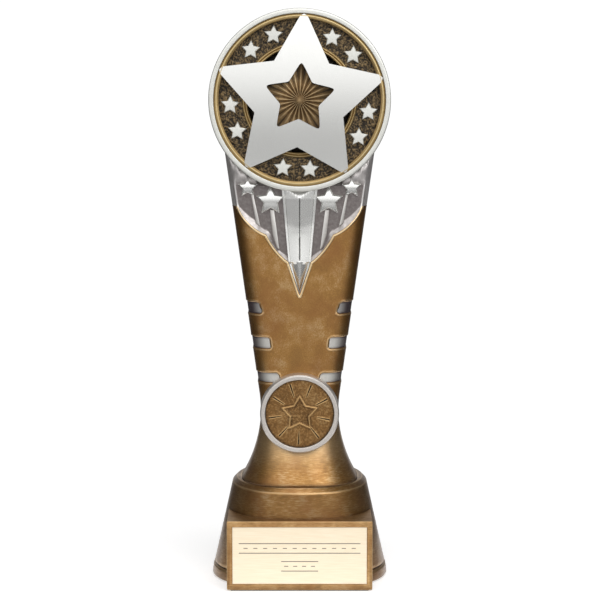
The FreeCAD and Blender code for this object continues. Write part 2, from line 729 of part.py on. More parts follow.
# ---------------------------------------------------------------- medallion

def make_medallion():
    height = cell("medallion_height")
    outer = front_cylinder("holder_solid", cell("medallion_radius"), cell("medallion_front"),
                           cell("medallion_back_front"), height=height)
    seat = "(sizes.disc_front - sizes.disc_thick - sizes.adhesive_thick)"
    hollow = front_cylinder("holder_hollow", cell("medallion_bore"), "sizes.medallion_front + 1",
                            seat, height=height)
    keep(cut("holder_piece", outer, hollow), "medallion_holder")
    glue = front_cylinder("disc_glue", "sizes.disc_radius - 0.6",
                          "%s + sizes.adhesive_thick" % seat, seat, height=height)
    keep(glue, "disc_adhesive")
    make_centre_disc(height)


def make_centre_disc(height):
    """A flat disc with a raised star outline and a ring of thin raised rays."""
    body = new_body("disc")
    field = front_sketch(body, "disc_outline", cell("disc_front"), height)
    draw_circle(field, cell("disc_radius"))
    pad(body, "disc_field", field, cell("disc_thick"), backwards=True)
    relief = front_sketch(body, "disc_star", cell("disc_front"), height)
    tip = cell("disc_star_tip")
    draw_outline(relief, star_corners(tip, tip + " * 0.54"))
    draw_outline(relief, star_corners(tip + " * 0.86", tip + " * 0.45"))
    pad(body, "disc_star_pad", relief, cell("disc_relief"))
    ray = front_sketch(body, "disc_ray", cell("disc_front"), height)
    draw_outline(ray, [("-0.2", "6.8"), ("0.2", "6.8"), ("0.45", "12.1"), ("-0.45", "12.1")])
    first_ray = pad(body, "disc_ray_pad", ray, cell("disc_relief"))
    rays = body.newObject("PartDesign::PolarPattern", "disc_rays")
    rays.Originals = [first_ray]
    rays.Axis = (ray, ["N_Axis"])
    rays.Angle = 360
    rays.Occurrences = DISC_RAYS
    body.Tip = rays
    doc.recompute()
    keep(body, "centre_disc")


# ---------------------------------------------------------------- roundel

def ridged_ring(name, inner, outer, back_front, front):
    """A ring with two rounded ridges, turned about the roundel's axis."""
    body = new_body(name)
    sketch = new_sketch(body, name + "_profile", "YZ_Plane", {"y": cell("roundel_height")})
    inner, outer = cell(inner), cell(outer)
    step = "(%s - %s) / 6" % (outer, inner)
    crest, valley = "-%s" % cell(front), "-(%s - 0.5)" % cell(front)
    edge = "-(%s - 0.6)" % cell(front)
    ridge = [(edge, inner), (crest, "%s + %s" % (inner, step)),
             (crest, "%s + 2 * %s" % (inner, step)), (valley, "%s + 3 * %s" % (inner, step)),
             (crest, "%s - 2 * %s" % (outer, step)), (crest, "%s - %s" % (outer, step)),
             (edge, outer)]
    back = "-%s" % cell(back_front)
    draw_outline(sketch, [(back, inner)] + ridge + [(back, outer)])
    turned = body.newObject("PartDesign::Revolution", name + "_turned")
    turned.Profile = sketch
    turned.ReferenceAxis = (sketch, ["H_Axis"])
    turned.Angle = 360
    doc.recompute()
    return body


def make_roundel_rings():
    height = cell("roundel_height")
    rim = new_body("rim")
    outline = front_sketch(rim, "rim_outline", cell("roundel_back_front"), height)
    draw_circle(outline, cell("rim_radius"))
    draw_circle(outline, cell("rim_bore"))
    pad(rim, "rim_pad", outline, "sizes.rim_front - sizes.roundel_back_front")
    keep(rim, "roundel_rim")
    keep(ridged_ring("bead", "bead_inner", "bead_outer", "field_front", "bead_front"), "bead_ring")
    keep(ridged_ring("bronze_ring", "inner_ring_inner", "inner_ring_outer", "field_front",
                     "inner_ring_front"), "inner_ring")
    disc = front_cylinder("backing_solid", cell("rim_bore"), cell("field_front"),
                          cell("roundel_back_front"), height=height)
    well = front_cylinder("backing_well", cell("inner_ring_inner"), str(FAR), cell("well_front"),
                          height=height)
    keep(cut_all("backing_piece", disc, [well, roundel_pin_pair("backing_pin_holes")]),
         "roundel_body")


def make_large_star():
    """A thick star plate with a star window, stepped underneath to bridge the two rings."""
    height, turn = cell("roundel_height"), cell("roundel_turn")
    body = new_body("star_plate")
    outline = front_sketch(body, "star_outline", cell("field_front"), height, turn)
    draw_outline(outline, star_corners(cell("star_tip"), cell("star_notch")))
    across = "sizes.window_rise * sin(sizes.roundel_turn * 1 deg)"
    up = "sizes.window_rise * cos(sizes.roundel_turn * 1 deg)"
    draw_outline(outline, star_corners(cell("window_tip"), cell("window_notch"), across, up))
    pad(body, "star_pad", outline, "sizes.star_front - sizes.field_front")
    trim = front_sketch(body, "star_trim_ring", str(FAR), height)
    draw_circle(trim, "sizes.star_tip + 10")
    draw_circle(trim, cell("star_trim"))
    pocket(body, "star_trim_cut", trim, "%g * 2" % FAR)
    rebate = front_sketch(body, "star_rebate_ring", "sizes.bead_front + sizes.star_clear", height)
    draw_circle(rebate, "sizes.star_tip + 10")
    draw_circle(rebate, "sizes.bead_inner - sizes.star_clear")
    pocket(body, "star_rebate_cut", rebate, str(FAR))
    bridge = front_sketch(body, "star_bridge_disc", "sizes.inner_ring_front + sizes.star_clear",
                          height)
    draw_circle(bridge, "sizes.inner_ring_outer + sizes.star_clear")
    bridged = pocket(body, "star_bridge_cut", bridge, str(FAR))
    front = value("-sizes.star_front")
    front_faces = ["Face%d" % number for number, face in enumerate(bridged.Shape.Faces, start=1)
                   if face.BoundBox.YMax < front + 0.01]
    bevel = body.newObject("PartDesign::Chamfer", "star_bevel_edges")
    bevel.Base = (bridged, front_faces)
    bevel.setExpression("Size", cell("star_bevel"))
    doc.recompute()
    keep(body, "large_star")


def make_sunburst():
    """A star-shaped insert whose face is cut into radial ridges."""
    height = "(sizes.roundel_height + sizes.window_rise)"
    turn = cell("roundel_turn")
    body = new_body("sunburst")
    outline = front_sketch(body, "sunburst_outline", cell("well_front"), height, turn)
    gap = cell("star_clear")
    draw_outline(outline, star_corners("(sizes.window_tip - 2 * %s)" % gap,
                                       "(sizes.window_notch - %s)" % gap))
    pad(body, "sunburst_pad", outline, "sizes.insert_front - sizes.well_front")
    groove = front_sketch(body, "sunburst_groove", cell("insert_front"), height, turn)
    narrow = "tan(%g deg)" % (90.0 / SUNBURST_RIDGES)
    far = "(sizes.window_tip + 1)"
    draw_outline(groove, [("-1.2 * " + narrow, "1.2"), ("1.2 * " + narrow, "1.2"),
                          ("%s * %s" % (far, narrow), far), ("-%s * %s" % (far, narrow), far)])
    first = pocket(body, "sunburst_groove_cut", groove, cell("sunburst_depth"))
    pattern = body.newObject("PartDesign::PolarPattern", "sunburst_ridges")
    pattern.Originals = [first]
    pattern.Axis = (groove, ["N_Axis"])
    pattern.Angle = 360
    pattern.Occurrences = SUNBURST_RIDGES
    body.Tip = pattern
    doc.recompute()
    keep(body, "sunburst_insert")


def make_small_stars():
    stars = []
    for pair in range(SMALL_STAR_PAIRS):
        for side in (-1, 1):
            angle = SMALL_STAR_FIRST + pair * 360.0 / SMALL_STAR_PAIRS + side * SMALL_STAR_SPREAD
            across = "sizes.small_star_radius * sin(%g deg)" % angle
            up = "sizes.small_star_radius * cos(%g deg)" % angle
            tip = cell("small_star_tip")
            corners = star_corners(tip, tip + " * 0.46", across, up, turn=2.6)
            stars.append(prism("small_star_%d" % (len(stars) + 1), cell("small_star_front"),
                               "sizes.small_star_front - sizes.field_front", corners,
                               height=cell("roundel_height")))
    keep(join("small_star_group", stars), "small_stars")


# ---------------------------------------------------------------- fixings

def foot_dowel_pair(name):
    pair = [cylinder("%s_%s" % (name, label), cell("dowel_radius"), "2 * sizes.dowel_half_length",
                     across=side + cell("dowel_x"), depth=cell("bolt_y"),
                     bottom="sizes.plinth_height - sizes.dowel_half_length")
            for label, side in (("left", "-"), ("right", ""))]
    return join(name, pair)


def roundel_pin_pair(name):
    pair = [front_cylinder("%s_%s" % (name, label), cell("pin_radius"), cell("pin_front"),
                           cell("pin_back_front"), across=side + cell("pin_x"),
                           height=cell("pin_z"))
            for label, side in (("left", "-"), ("right", ""))]
    return join(name, pair)


def make_bolt():
    head_bottom = "(sizes.counterbore_top - sizes.washer_thick - sizes.bolt_head_height)"
    body = new_body("bolt")
    head = new_sketch(body, "bolt_head", "XY_Plane", {"z": head_bottom, "y": cell("bolt_y")})
    reach = "(sizes.bolt_head_half_flat / cos(30 deg))"
    draw_outline(head, [("%s * cos(%d deg)" % (reach, 60 * step),
                         "%s * sin(%d deg)" % (reach, 60 * step)) for step in range(6)])
    pad(body, "bolt_head_pad", head, cell("bolt_head_height"))
    shank = new_sketch(body, "bolt_shank", "XY_Plane", {"z": head_bottom, "y": cell("bolt_y")})
    draw_circle(shank, cell("bolt_radius"))
    pad(body, "bolt_shank_pad", shank, "sizes.bolt_top - %s" % head_bottom)
    keep(body, "column_bolt")


def tube(name, label, outer, inner, length, bottom):
    """A ring round the bolt's axis."""
    solid = cylinder(name + "_solid", outer, length, depth=cell("bolt_y"), bottom=bottom)
    hole = cylinder(name + "_hole", inner, length, depth=cell("bolt_y"), bottom=bottom)
    keep(cut(name + "_piece", solid, hole), label)


def make_fixings():
    make_bolt()
    tube("washer", "bolt_washer", cell("washer_radius"), "sizes.bolt_radius + sizes.bolt_clear",
         cell("washer_thick"), "sizes.counterbore_top - sizes.washer_thick")
    tube("insert", "thread_insert", cell("insert_radius"), cell("bolt_radius"),
         cell("insert_length"), cell("plinth_height"))
    keep(foot_dowel_pair("foot_dowel_pair"), "foot_dowels")
    keep(roundel_pin_pair("roundel_pin_pair"), "roundel_pins")


# ---------------------------------------------------------------- build, check, write

def check_document():
    """Stop if any object failed or any finished piece is empty or broken."""
    for item in doc.Objects:
        if "Invalid" in item.State or "Error" in item.State:
            raise RuntimeError("%s failed: %s" % (item.Name, item.State))
    for piece in finished:
        shape = piece.Shape
        if shape.isNull() or not shape.isValid() or not shape.Solids:
            raise RuntimeError("%s has no valid solid" % piece.Label)


def main():
    fill_sheet()
    slots = [slot_pair(name + "_slot", *ends) for name, *ends in SLOTS]
    form = column_form("column_form", "0")
    floor_form = column_form("slot_floor_form", "(sizes.slot_depth - sizes.inlay_thick)")
    root_form = column_form("slot_root_form", cell("slot_depth"))
    make_felt()
    make_plinth()
    make_plaque()
    tongue_space = make_column(form, root_form, floor_form, slots)
    recess = make_crown(form, tongue_space)
    make_blade()
    make_relief_stars()
    make_trails(recess)
    make_medallion()
    make_roundel_rings()
    make_large_star()
    make_sunburst()
    make_small_stars()
    make_fixings()
    doc.recompute()
    check_document()
    os.makedirs("parts", exist_ok=True)
    for piece in finished:
        piece.Shape.exportStep("parts/%s.step" % piece.Label)
        print("%-22s solids %2d  volume %9.1f" % (piece.Label, len(piece.Shape.Solids),
                                                  piece.Shape.Volume))


main()
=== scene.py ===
import math

import bpy
import numpy as np
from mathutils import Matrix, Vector
from mathutils.geometry import tessellate_polygon


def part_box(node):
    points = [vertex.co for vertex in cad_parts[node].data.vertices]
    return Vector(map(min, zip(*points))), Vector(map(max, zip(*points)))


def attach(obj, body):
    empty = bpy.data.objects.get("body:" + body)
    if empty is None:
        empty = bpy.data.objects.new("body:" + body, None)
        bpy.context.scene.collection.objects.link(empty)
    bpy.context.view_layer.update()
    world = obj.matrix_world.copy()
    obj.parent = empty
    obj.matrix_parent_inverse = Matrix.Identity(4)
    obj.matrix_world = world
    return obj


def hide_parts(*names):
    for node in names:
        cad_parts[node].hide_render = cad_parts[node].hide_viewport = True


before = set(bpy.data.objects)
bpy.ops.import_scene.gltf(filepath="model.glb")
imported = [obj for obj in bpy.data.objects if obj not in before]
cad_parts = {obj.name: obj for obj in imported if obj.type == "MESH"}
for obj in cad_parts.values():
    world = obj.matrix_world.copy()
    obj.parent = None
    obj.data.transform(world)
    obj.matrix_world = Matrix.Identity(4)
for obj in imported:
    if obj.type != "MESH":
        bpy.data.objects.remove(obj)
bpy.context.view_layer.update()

MM = 0.001


def limits(node):
    """Lowest and highest corner of a CAD node, in millimetres."""
    low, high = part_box(node)
    return np.array(low) / MM, np.array(high) / MM


# ---------------- driving sizes, millimetres
COLUMN_LOW, COLUMN_HIGH = limits("column_body")
CROWN_HIGH = limits("column_crown")[1]
RIM_LOW, RIM_HIGH = limits("roundel_rim")
HOLDER_LOW, HOLDER_HIGH = limits("medallion_holder")
PLINTH_LOW, PLINTH_HIGH = limits("plinth")
BLOCK_LOW, BLOCK_HIGH = limits("plaque_block")
PLATE_LOW, PLATE_HIGH = limits("engraving_plate")
FELT_LOW, FELT_HIGH = limits("base_felt")

# column skin
FOOT_Z = COLUMN_LOW[2]
SHOULDER_Z = COLUMN_HIGH[2]
NECK_Z = 68.0
NECK_HALF = 15.4
FLARE_RADIUS = 55.0
TAPER_Z = 75.65
TAPER = 0.1406
FRONT = 17.5
BACK = CROWN_HIGH[1]
FRONT_FLARE_RADIUS = 86.0
NECK_CORNER = 7.5
FOOT_CORNER = 18.0
FRONT_CROWNING = 0.6

# V outline
TIP = (0.0, 114.2)
KINK_2 = (4.35, 127.3)
KINK_1 = (12.92, 138.0)
OUTLINE_END = (24.07, SHOULDER_Z)
LOWER_SCALLOP = 29.7
UPPER_SCALLOP = 20.3
FLOOR_FRONT = 15.5
TONGUE_BACK = 13.0

# roundel
ROUNDEL_Z = (RIM_LOW[2] + RIM_HIGH[2]) / 2
ROUNDEL_TURN = math.radians(3.0)
RIM_RADIUS = (RIM_HIGH[2] - RIM_LOW[2]) / 2
RIM_FRONT = -RIM_LOW[1]
ROUNDEL_BACK = -RIM_HIGH[1]
DOME_RADIUS = CROWN_HIGH[2] - ROUNDEL_Z
DOME_CREST = 0.6

# medallion
MEDALLION_Z = (HOLDER_LOW[2] + HOLDER_HIGH[2]) / 2
MEDALLION_RADIUS = (HOLDER_HIGH[2] - HOLDER_LOW[2]) / 2
MEDALLION_FRONT = -HOLDER_LOW[1]

# side slots: inner end at the top and bottom edge, top and bottom height
SLOTS = {
    "upper_side_inlays": (15.97, 14.6, 111.6, 107.0),
    "middle_side_inlays": (11.69, 11.03, 97.8, 93.3),
    "lower_side_inlays": (8.15, 7.49, 83.7, 79.9),
}
SLOT_DEPTH = 1.25
INLAY_DEPTH = 0.75
SIDE_DEPTH_SHARE = 0.45
SLOT_CORNER = 1.2

# camera
CAMERA_DISTANCE = 0.790
CAMERA_HEIGHT = 0.2047
CAMERA_PITCH = math.radians(6.8)
LENS = 120.0
CAMERA_SIDE = 0.00015


# ---------------- small tools

def smooth(low, high, value):
    """0 below low, 1 above high, with eased ends."""
    share = np.clip((np.asarray(value, float) - low) / (high - low), 0.0, 1.0)
    return share * share * (3.0 - 2.0 * share)


def bump_shape(centre, width, value):
    """A rounded ridge of height 1 and the given full width."""
    share = np.clip(np.abs(np.asarray(value, float) - centre) / (width / 2), 0.0, 1.0)
    return 0.5 + 0.5 * np.cos(math.pi * share)


def value_noise(points, scale, seed):
    """Smooth noise from 0 to 1 at flat points (n, 2), with cells of the given size."""
    cell = np.column_stack([points, np.zeros(len(points))]) / scale
    base = np.floor(cell).astype(np.int64)
    share = cell - base
    share = share * share * (3 - 2 * share)
    total = np.zeros(len(points))
    for corner in range(8):
        offset = np.array([(corner >> axis) & 1 for axis in range(3)])
        node = base + offset
        key = node[:, 0] * 73856093 ^ node[:, 1] * 19349663 ^ node[:, 2] * 83492791 ^ seed * 2654435
        key = (key ^ (key >> 13)) * 1274126177
        key = (key ^ (key >> 16)) & 0xFFFFFF
        weight = np.prod(np.where(offset, share, 1 - share), axis=1)
        total += weight * key / float(0xFFFFFF)
    return total


def segment_distance(points, line):
    """Distance of 2-D points from a polyline."""
    best = np.full(len(points), 1e9)
    for start, end in zip(line[:-1], line[1:]):
        run = end - start
        share = np.clip(((points - start) @ run) / max(run @ run, 1e-12), 0.0, 1.0)
        nearest = start + share[:, None] * run
        best = np.minimum(best, np.hypot(*(points - nearest).T))
    return best


# ---------------- mesh building

def finish_piece(piece, material, slot, *nodes):
    """Give a piece its material and its place in the frame, in place of CAD nodes."""
    piece.data.materials.clear()
    piece.data.materials.append(material)
    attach(piece, "root")
    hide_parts(*nodes)


def add_piece(name, node, material, slot, shape, grime=0.0, wear_and_highlight=0.0, turned=None, sharp=None,
              smooth_faces=True):
    """A visible piece from its vertices in millimetres and its faces, in place of a CAD node.

    Per vertex come a dark mark, which is dark wash together with painted shade, a light mark,
    which is rubbed brightness together with painted highlight, and turned, the share of
    rubbing marks that run round the piece. Edges above sharp degrees stay hard."""
    vertices, faces = shape
    mesh = bpy.data.meshes.new(name)
    mesh.from_pydata((np.asarray(vertices, float) * MM).tolist(), [], faces)
    for label, numbers in (("grime", grime), ("wear_and_highlight", wear_and_highlight), ("turned", turned)):
        if numbers is not None:
            layer = mesh.attributes.new(label, "FLOAT", "POINT")
            numbers = np.broadcast_to(numbers, len(vertices)).astype(np.float32)
            layer.data.foreach_set("value", numbers)
    mesh.polygons.foreach_set("use_smooth", [smooth_faces] * len(mesh.polygons))
    mesh.update()
    if sharp:
        mesh.set_sharp_from_angle(angle=math.radians(sharp))
    piece = bpy.data.objects.new(name, mesh)
    bpy.context.scene.collection.objects.link(piece)
    finish_piece(piece, material, slot, node)


def loft_faces(rows, columns):
    """Quads between rows of points, where each row is a closed ring."""
    faces = []
    for row in range(rows - 1):
        for column in range(columns):
            following = (column + 1) % columns
            faces.append((row * columns + column, row * columns + following,
                          (row + 1) * columns + following, (row + 1) * columns + column))
    return faces


def loft_open(rings):
    """A sleeve: vertices and faces of a stack of closed rings (rows, columns, 3)."""
    rings = np.asarray(rings, float)
    return rings.reshape(-1, 3), loft_faces(*rings.shape[:2])


def loft_rings(rings):
    """A stack of closed rings whose two ends are closed with fans."""
    vertices, faces = loft_open(rings)
    count = len(vertices)
    columns = len(rings[0])
    last = count - columns
    faces += [((c + 1) % columns, c, count) for c in range(columns)]
    faces += [(last + c, last + (c + 1) % columns, count + 1) for c in range(columns)]
    return np.vstack([vertices, np.mean(rings[0], axis=0), np.mean(rings[-1], axis=0)]), faces


def loft_loop(rings):
    """A stack of closed rings whose last one joins the first."""
    vertices, faces = loft_open(np.concatenate([rings, rings[:1]]))
    count = len(vertices) - len(rings[0])
    return vertices[:count], [tuple(i % count for i in face) for face in faces]


def merge(shapes):
    """One shape out of several."""
    faces, count = [], 0
    for vertices, own in shapes:
        faces += [tuple(i + count for i in face) for face in own]
        count += len(vertices)
    return np.vstack([vertices for vertices, own in shapes]), faces


def mirrored(shape):
    """The same shape on the other side of the trophy."""
    vertices, faces = shape
    return vertices * [-1, 1, 1], [face[::-1] for face in faces]


def flat_ring(flat, y):
    """A ring of points (x, z) stood upright at a depth y."""
    return np.column_stack([flat[:, 0], np.broadcast_to(y, len(flat)), flat[:, 1]])


def circle(radius, angles, centre_z):
    """Points (x, z) at a radius, clockwise from the top."""
    return np.column_stack([radius * np.sin(angles), centre_z + radius * np.cos(angles)])


def full_turn(count):
    """Evenly spaced angles round a whole turn."""
    return np.linspace(0, 2 * math.pi, count, endpoint=False)


class Stack:
    """Rings to be lofted, with the dark mark (wash and painted shade) and the light mark (rubbed brightness
    and painted highlight) of each.
    """

    def __init__(self):
        self.rings, self.grime, self.wear_and_highlight = [], [], []

    def add(self, ring, grime=0.0, wear_and_highlight=0.0):
        """Put a ring on top; its dark and light marks are held between 0 and 1."""
        self.rings.append(ring)
        self.grime.append(np.broadcast_to(np.clip(grime, 0, 1), len(ring)))
        self.wear_and_highlight.append(np.broadcast_to(np.clip(wear_and_highlight, 0, 1), len(ring)))

    def add_wall(self, y, grime):
        """Repeat the last ring at another depth."""
        self.add(flat_ring(self.rings[-1][:, ::2], y), grime)

    def finish(self, name, node, material, slot, low_end=(0.0, 0.0), high_end=(0.0, 0.0), **more):
        """Close both ends; low_end and high_end are the dark and light marks at their middles."""
        grime, wear_and_highlight = (np.append(np.concatenate(marks), ends) for marks, ends in
                       zip((self.grime, self.wear_and_highlight), zip(low_end, high_end)))
        add_piece(name, node, material, slot, loft_rings(self.rings), grime, wear_and_highlight, **more)


def soften_loop(loop, radius, steps=3):
    """Round the corners of a closed loop with short curves."""
    loop = np.array(loop, float)
    out = []
    for before, here, after in zip(np.roll(loop, 1, axis=0), loop, np.roll(loop, -1, axis=0)):
        reach = min(radius, 0.45 * math.dist(before, here), 0.45 * math.dist(after, here))
        start, end = (here + (other - here) / math.dist(other, here) * reach
                      for other in (before, after))
        for share in np.linspace(0, 1, steps + 1):
            out.append((1 - share) ** 2 * start + 2 * share * (1 - share) * here
                       + share ** 2 * end)
    return np.array(out)


# ---------------- materials

def rgb(red, green, blue):
    """A linear colour from display values of 0 to 255."""
    def linear(level):
        share = level / 255.0
        return share / 12.92 if share <= 0.04045 else ((share + 0.055) / 1.055) ** 2.4
    return (linear(red), linear(green), linear(blue), 1.0)


class Nodes:
    """Short ways to build the node tree of a material, or of any tree that is given."""

    def __init__(self, name, tree=None):
        if tree is None:
            self.material = bpy.data.materials.new(name)
            self.material.use_nodes = True
            tree = self.material.node_tree
            self.shader = tree.nodes["Principled BSDF"]
        self.tree = tree

    def feed(self, node, values):
        """Link outputs into a node's sockets, or set the sockets' own values."""
        for key, item in values.items():
            if isinstance(item, bpy.types.NodeSocket):
                self.tree.links.new(item, node.inputs[key])
            else:
                node.inputs[key].default_value = item

    def add(self, kind, values, **settings):
        node = self.tree.nodes.new(kind)
        for key, setting in settings.items():
            setattr(node, key, setting)
        self.feed(node, values)
        return node

    def noise(self, scale, detail=4.0, rough=0.55, stretch=(1, 1, 1)):
        place = self.add("ShaderNodeTexCoord", {}).outputs["Object"]
        mapping = self.add("ShaderNodeMapping", {"Scale": stretch, "Vector": place})
        node = self.add("ShaderNodeTexNoise", {"Scale": scale, "Detail": detail, "Roughness": rough,
                                               "Vector": mapping.outputs["Vector"]})
        return node.outputs["Fac"]

    def ramp(self, source, stops):
        node = self.add("ShaderNodeValToRGB", {"Fac": source})
        elements = node.color_ramp.elements
        while len(elements) < len(stops):
            elements.new(0.5)
        for element, (place, colour) in zip(elements, stops):
            element.position = place
            element.color = colour
        return node.outputs["Color"]

    def remap(self, source, low, high, to_low=0.0, to_high=1.0, how="LINEAR"):
        node = self.add("ShaderNodeMapRange", {"Value": source, "From Min": low, "From Max": high,
                                               "To Min": to_low, "To Max": to_high},
                        interpolation_type=how)
        return node.outputs["Result"]

    def math(self, operation, first, second=0.0):
        node = self.add("ShaderNodeMath", {0: first, 1: second}, operation=operation)
        return node.outputs["Value"]

    def mix(self, factor, first, second):
        """Blend two colours; the node's colour sockets come after its numbers and vectors."""
        node = self.add("ShaderNodeMix", {0: factor, 6: first, 7: second}, data_type="RGBA")
        return node.outputs[2]

    def attribute(self, name):
        return self.add("ShaderNodeAttribute", {}, attribute_name=name).outputs["Fac"]

    def bump(self, source, strength, distance=0.0002):
        node = self.add("ShaderNodeBump", {"Strength": strength, "Distance": distance,
                                           "Height": source})
        self.feed(self.shader, {"Normal": node.outputs["Normal"]})


def metal_paint(name, base, dark, light, metallic=0.7, roughness=0.38, mottle=0.35,
                streak=(1, 1, 1), streak_scale=900.0, grain=0.25, blotch=90.0, tint=None,
                spread=0.07, coat=0.0, turned=False):
    """Metallic paint over cast resin: blotches, rubbing streaks, dark wash mixed with painted shade, and
    worn edges mixed with painted highlight.

    Reads vertex attributes: the dark mark (wash and painted shade), the light mark (rubbed brightness and
    painted highlight) and, on the gold pieces, turned."""
    nodes = Nodes(name)
    blotches = nodes.remap(nodes.noise(blotch, 5.0, 0.6), 0.35, 0.68)
    streaks = nodes.remap(nodes.noise(streak_scale, 6.0, 0.65, streak), 0.3, 0.72)
    if turned:
        rounds = nodes.remap(nodes.noise(streak_scale, 6.0, 0.65, ROUND_MARKS), 0.34, 0.66)
        share = nodes.attribute("turned")
        streaks = nodes.math("MULTIPLY", streaks, nodes.math("SUBTRACT", 1.0, share))
        streaks = nodes.math("ADD", streaks, nodes.math("MULTIPLY", rounds, share))
    blend = nodes.math("ADD", nodes.math("MULTIPLY", blotches, BLOTCH_SHARE),
                       nodes.math("MULTIPLY", streaks, 1 - BLOTCH_SHARE))
    soft_dark, soft_light = (tuple(b * (1 - mottle) + e * mottle for b, e in zip(base, end))
                             for end in (dark, light))
    colour = nodes.ramp(blend, [(0.15, soft_dark), (0.5, base), (0.85, soft_light)])
    if tint:
        patches = nodes.remap(nodes.noise(blotch * 0.6, 3.0, 0.5), 0.45, 0.7, 0.0, 0.6)
        colour = nodes.mix(patches, colour, tint)
    # the dark mark mixes in dark wash and painted shade, the light mark rubbed brightness and painted
    # highlight
    colour = nodes.mix(nodes.attribute("grime"), colour, dark)
    colour = nodes.mix(nodes.attribute("wear_and_highlight"), colour, light)
    rough = nodes.remap(blend, 0.2, 0.8, roughness + spread, roughness - spread)
    nodes.feed(nodes.shader, {"Base Color": colour, "Roughness": rough, "Metallic": metallic})
    if coat:
        nodes.feed(nodes.shader, {"Coat Weight": coat, "Coat Roughness": 0.3})
    if grain:
        fine = nodes.noise(2600.0, 2.0, 0.5)
        nodes.bump(nodes.math("ADD", streaks, fine), grain, 0.00004)
    return nodes.material


# how far marks stretch round a turned piece, and the share of blotches against streaks
ROUND_MARKS = (0.12, 0.12, 1)
BLOTCH_SHARE = 0.45

GOLD = metal_paint("antique_gold", rgb(167, 122, 62), rgb(48, 30, 15), rgb(250, 222, 174),
                   metallic=0.9, roughness=0.37, mottle=0.34, streak=(1, 1, 0.6),
                   streak_scale=3200.0, blotch=150.0, tint=rgb(146, 98, 50), coat=0.5, grain=0.4,
                   turned=True)
FRAME_BRONZE = metal_paint("frame_bronze", rgb(182, 143, 94), rgb(56, 38, 22), rgb(226, 196, 146),
                           metallic=0.8, roughness=0.42, mottle=0.4, streak=(0.2, 1, 1),
                           streak_scale=2200.0, blotch=200.0, tint=rgb(150, 106, 62))
BRIGHT_GOLD = metal_paint("bright_gold", rgb(188, 159, 106), rgb(112, 88, 52), rgb(242, 224, 174),
                          roughness=0.33, mottle=0.2)
DISC_BRONZE = metal_paint("disc_bronze", rgb(146, 106, 58), rgb(34, 23, 12), rgb(216, 182, 128),
                          roughness=0.40)
BURST_BRONZE = metal_paint("burst_bronze", rgb(142, 114, 76), rgb(34, 25, 14), rgb(222, 198, 156),
                           roughness=0.40)
DARK_BRONZE = metal_paint("dark_bronze", rgb(52, 43, 29), rgb(17, 13, 9), rgb(164, 137, 95),
                          metallic=0.5, roughness=0.5, mottle=0.85, grain=0.6, blotch=4600.0)
SILVER = metal_paint("satin_silver", rgb(232, 232, 229), rgb(120, 118, 116), rgb(245, 245, 242),
                     metallic=0.95, roughness=0.25, mottle=0.02, blotch=40.0, grain=0.0,
                     spread=0.01)
MEDAL_SILVER = metal_paint("medal_silver", rgb(204, 198, 192), rgb(110, 102, 96),
                           rgb(240, 236, 230), metallic=0.8, roughness=0.4, mottle=0.1, grain=0.1)
PALE_SILVER = metal_paint("pale_silver", rgb(226, 226, 220), rgb(120, 116, 112),
                          rgb(246, 246, 242), roughness=0.42, mottle=0.1, grain=0.1)
AGED_SILVER = metal_paint("aged_silver", rgb(176, 168, 165), rgb(72, 64, 63), rgb(246, 244, 242),
                          roughness=0.4, mottle=0.3, blotch=700.0)
STRIP_SILVER = metal_paint("strip_silver", rgb(218, 216, 210), rgb(92, 82, 84),
                           rgb(246, 246, 242), roughness=0.42, mottle=0.1, grain=0.1)
TRAIL_SILVER = metal_paint("trail_silver", rgb(176, 172, 168), rgb(90, 84, 80),
                           rgb(232, 230, 226), metallic=0.6, mottle=0.2)


def plain_metal(name, base, roughness):
    dark, light = (tuple(min(level * share, 1) for level in base[:3]) + (1.0,)
                   for share in (0.4, 1.4))
    return metal_paint(name, base, dark, light, metallic=1.0, roughness=roughness, mottle=0.2)


def cream_plate():
    nodes = Nodes("cream_plate")
    grain = nodes.noise(2600.0, 3.0, 0.5, (0.05, 1, 1))
    colour = nodes.ramp(grain, [(0.3, rgb(232, 216, 188)), (0.7, rgb(239, 225, 200))])
    colour = nodes.mix(nodes.attribute("grime"), colour, rgb(128, 122, 112))
    rough = nodes.remap(grain, 0.3, 0.7, 0.42, 0.34)
    nodes.feed(nodes.shader, {"Base Color": colour, "Roughness": rough, "Metallic": 0.1})
    nodes.bump(grain, 0.08)
    return nodes.material


def soft_sheet(name, noise, dark, light, roughness, sheen, bump):
    """Felt or foam: a fine grain between two greys."""
    nodes = Nodes(name)
    grain = nodes.noise(*noise)
    nodes.feed(nodes.shader, {"Base Color": nodes.ramp(grain, [(0.3, dark), (0.7, light)]),
                              "Roughness": roughness, "Sheen Weight": sheen})
    nodes.bump(grain, bump)
    return nodes.material


STEEL = plain_metal("zinc_steel", rgb(190, 190, 192), 0.35)
BRASS = plain_metal("insert_brass", rgb(205, 170, 95), 0.3)
CREAM = cream_plate()
FELT = soft_sheet("black_felt", (3500.0, 6.0, 0.7), rgb(18, 18, 19), rgb(58, 58, 60), 0.95, 0.3, 0.8)
TAPE = soft_sheet("foam_tape", (4200.0, 4.0, 0.6), rgb(200, 200, 192), rgb(226, 226, 220), 0.8,
                  0.0, 0.4)


# ---------------- column skin

def half_width(z):
    """Half the width of the column at a height: a flared foot, then a slow taper outwards."""
    z = np.asarray(z, float)
    low = np.minimum(z, TAPER_Z)
    flare = FLARE_RADIUS - np.sqrt(FLARE_RADIUS ** 2 - (low - NECK_Z) ** 2)
    return NECK_HALF + flare + TAPER * np.maximum(z - TAPER_Z, 0.0)


def swell(z):
    """How far the foot comes forward of the straight front."""
    below = np.maximum(TAPER_Z - np.asarray(z, float), 0.0)
    return FRONT_FLARE_RADIUS - np.sqrt(FRONT_FLARE_RADIUS ** 2 - below ** 2)


def corner_radius(z):
    """Radius of the section's corners, which grows towards the foot."""
    below = np.maximum(TAPER_Z - np.asarray(z, float), 0.0)
    return NECK_CORNER + (FOOT_CORNER - NECK_CORNER) * below / (TAPER_Z - FOOT_Z)


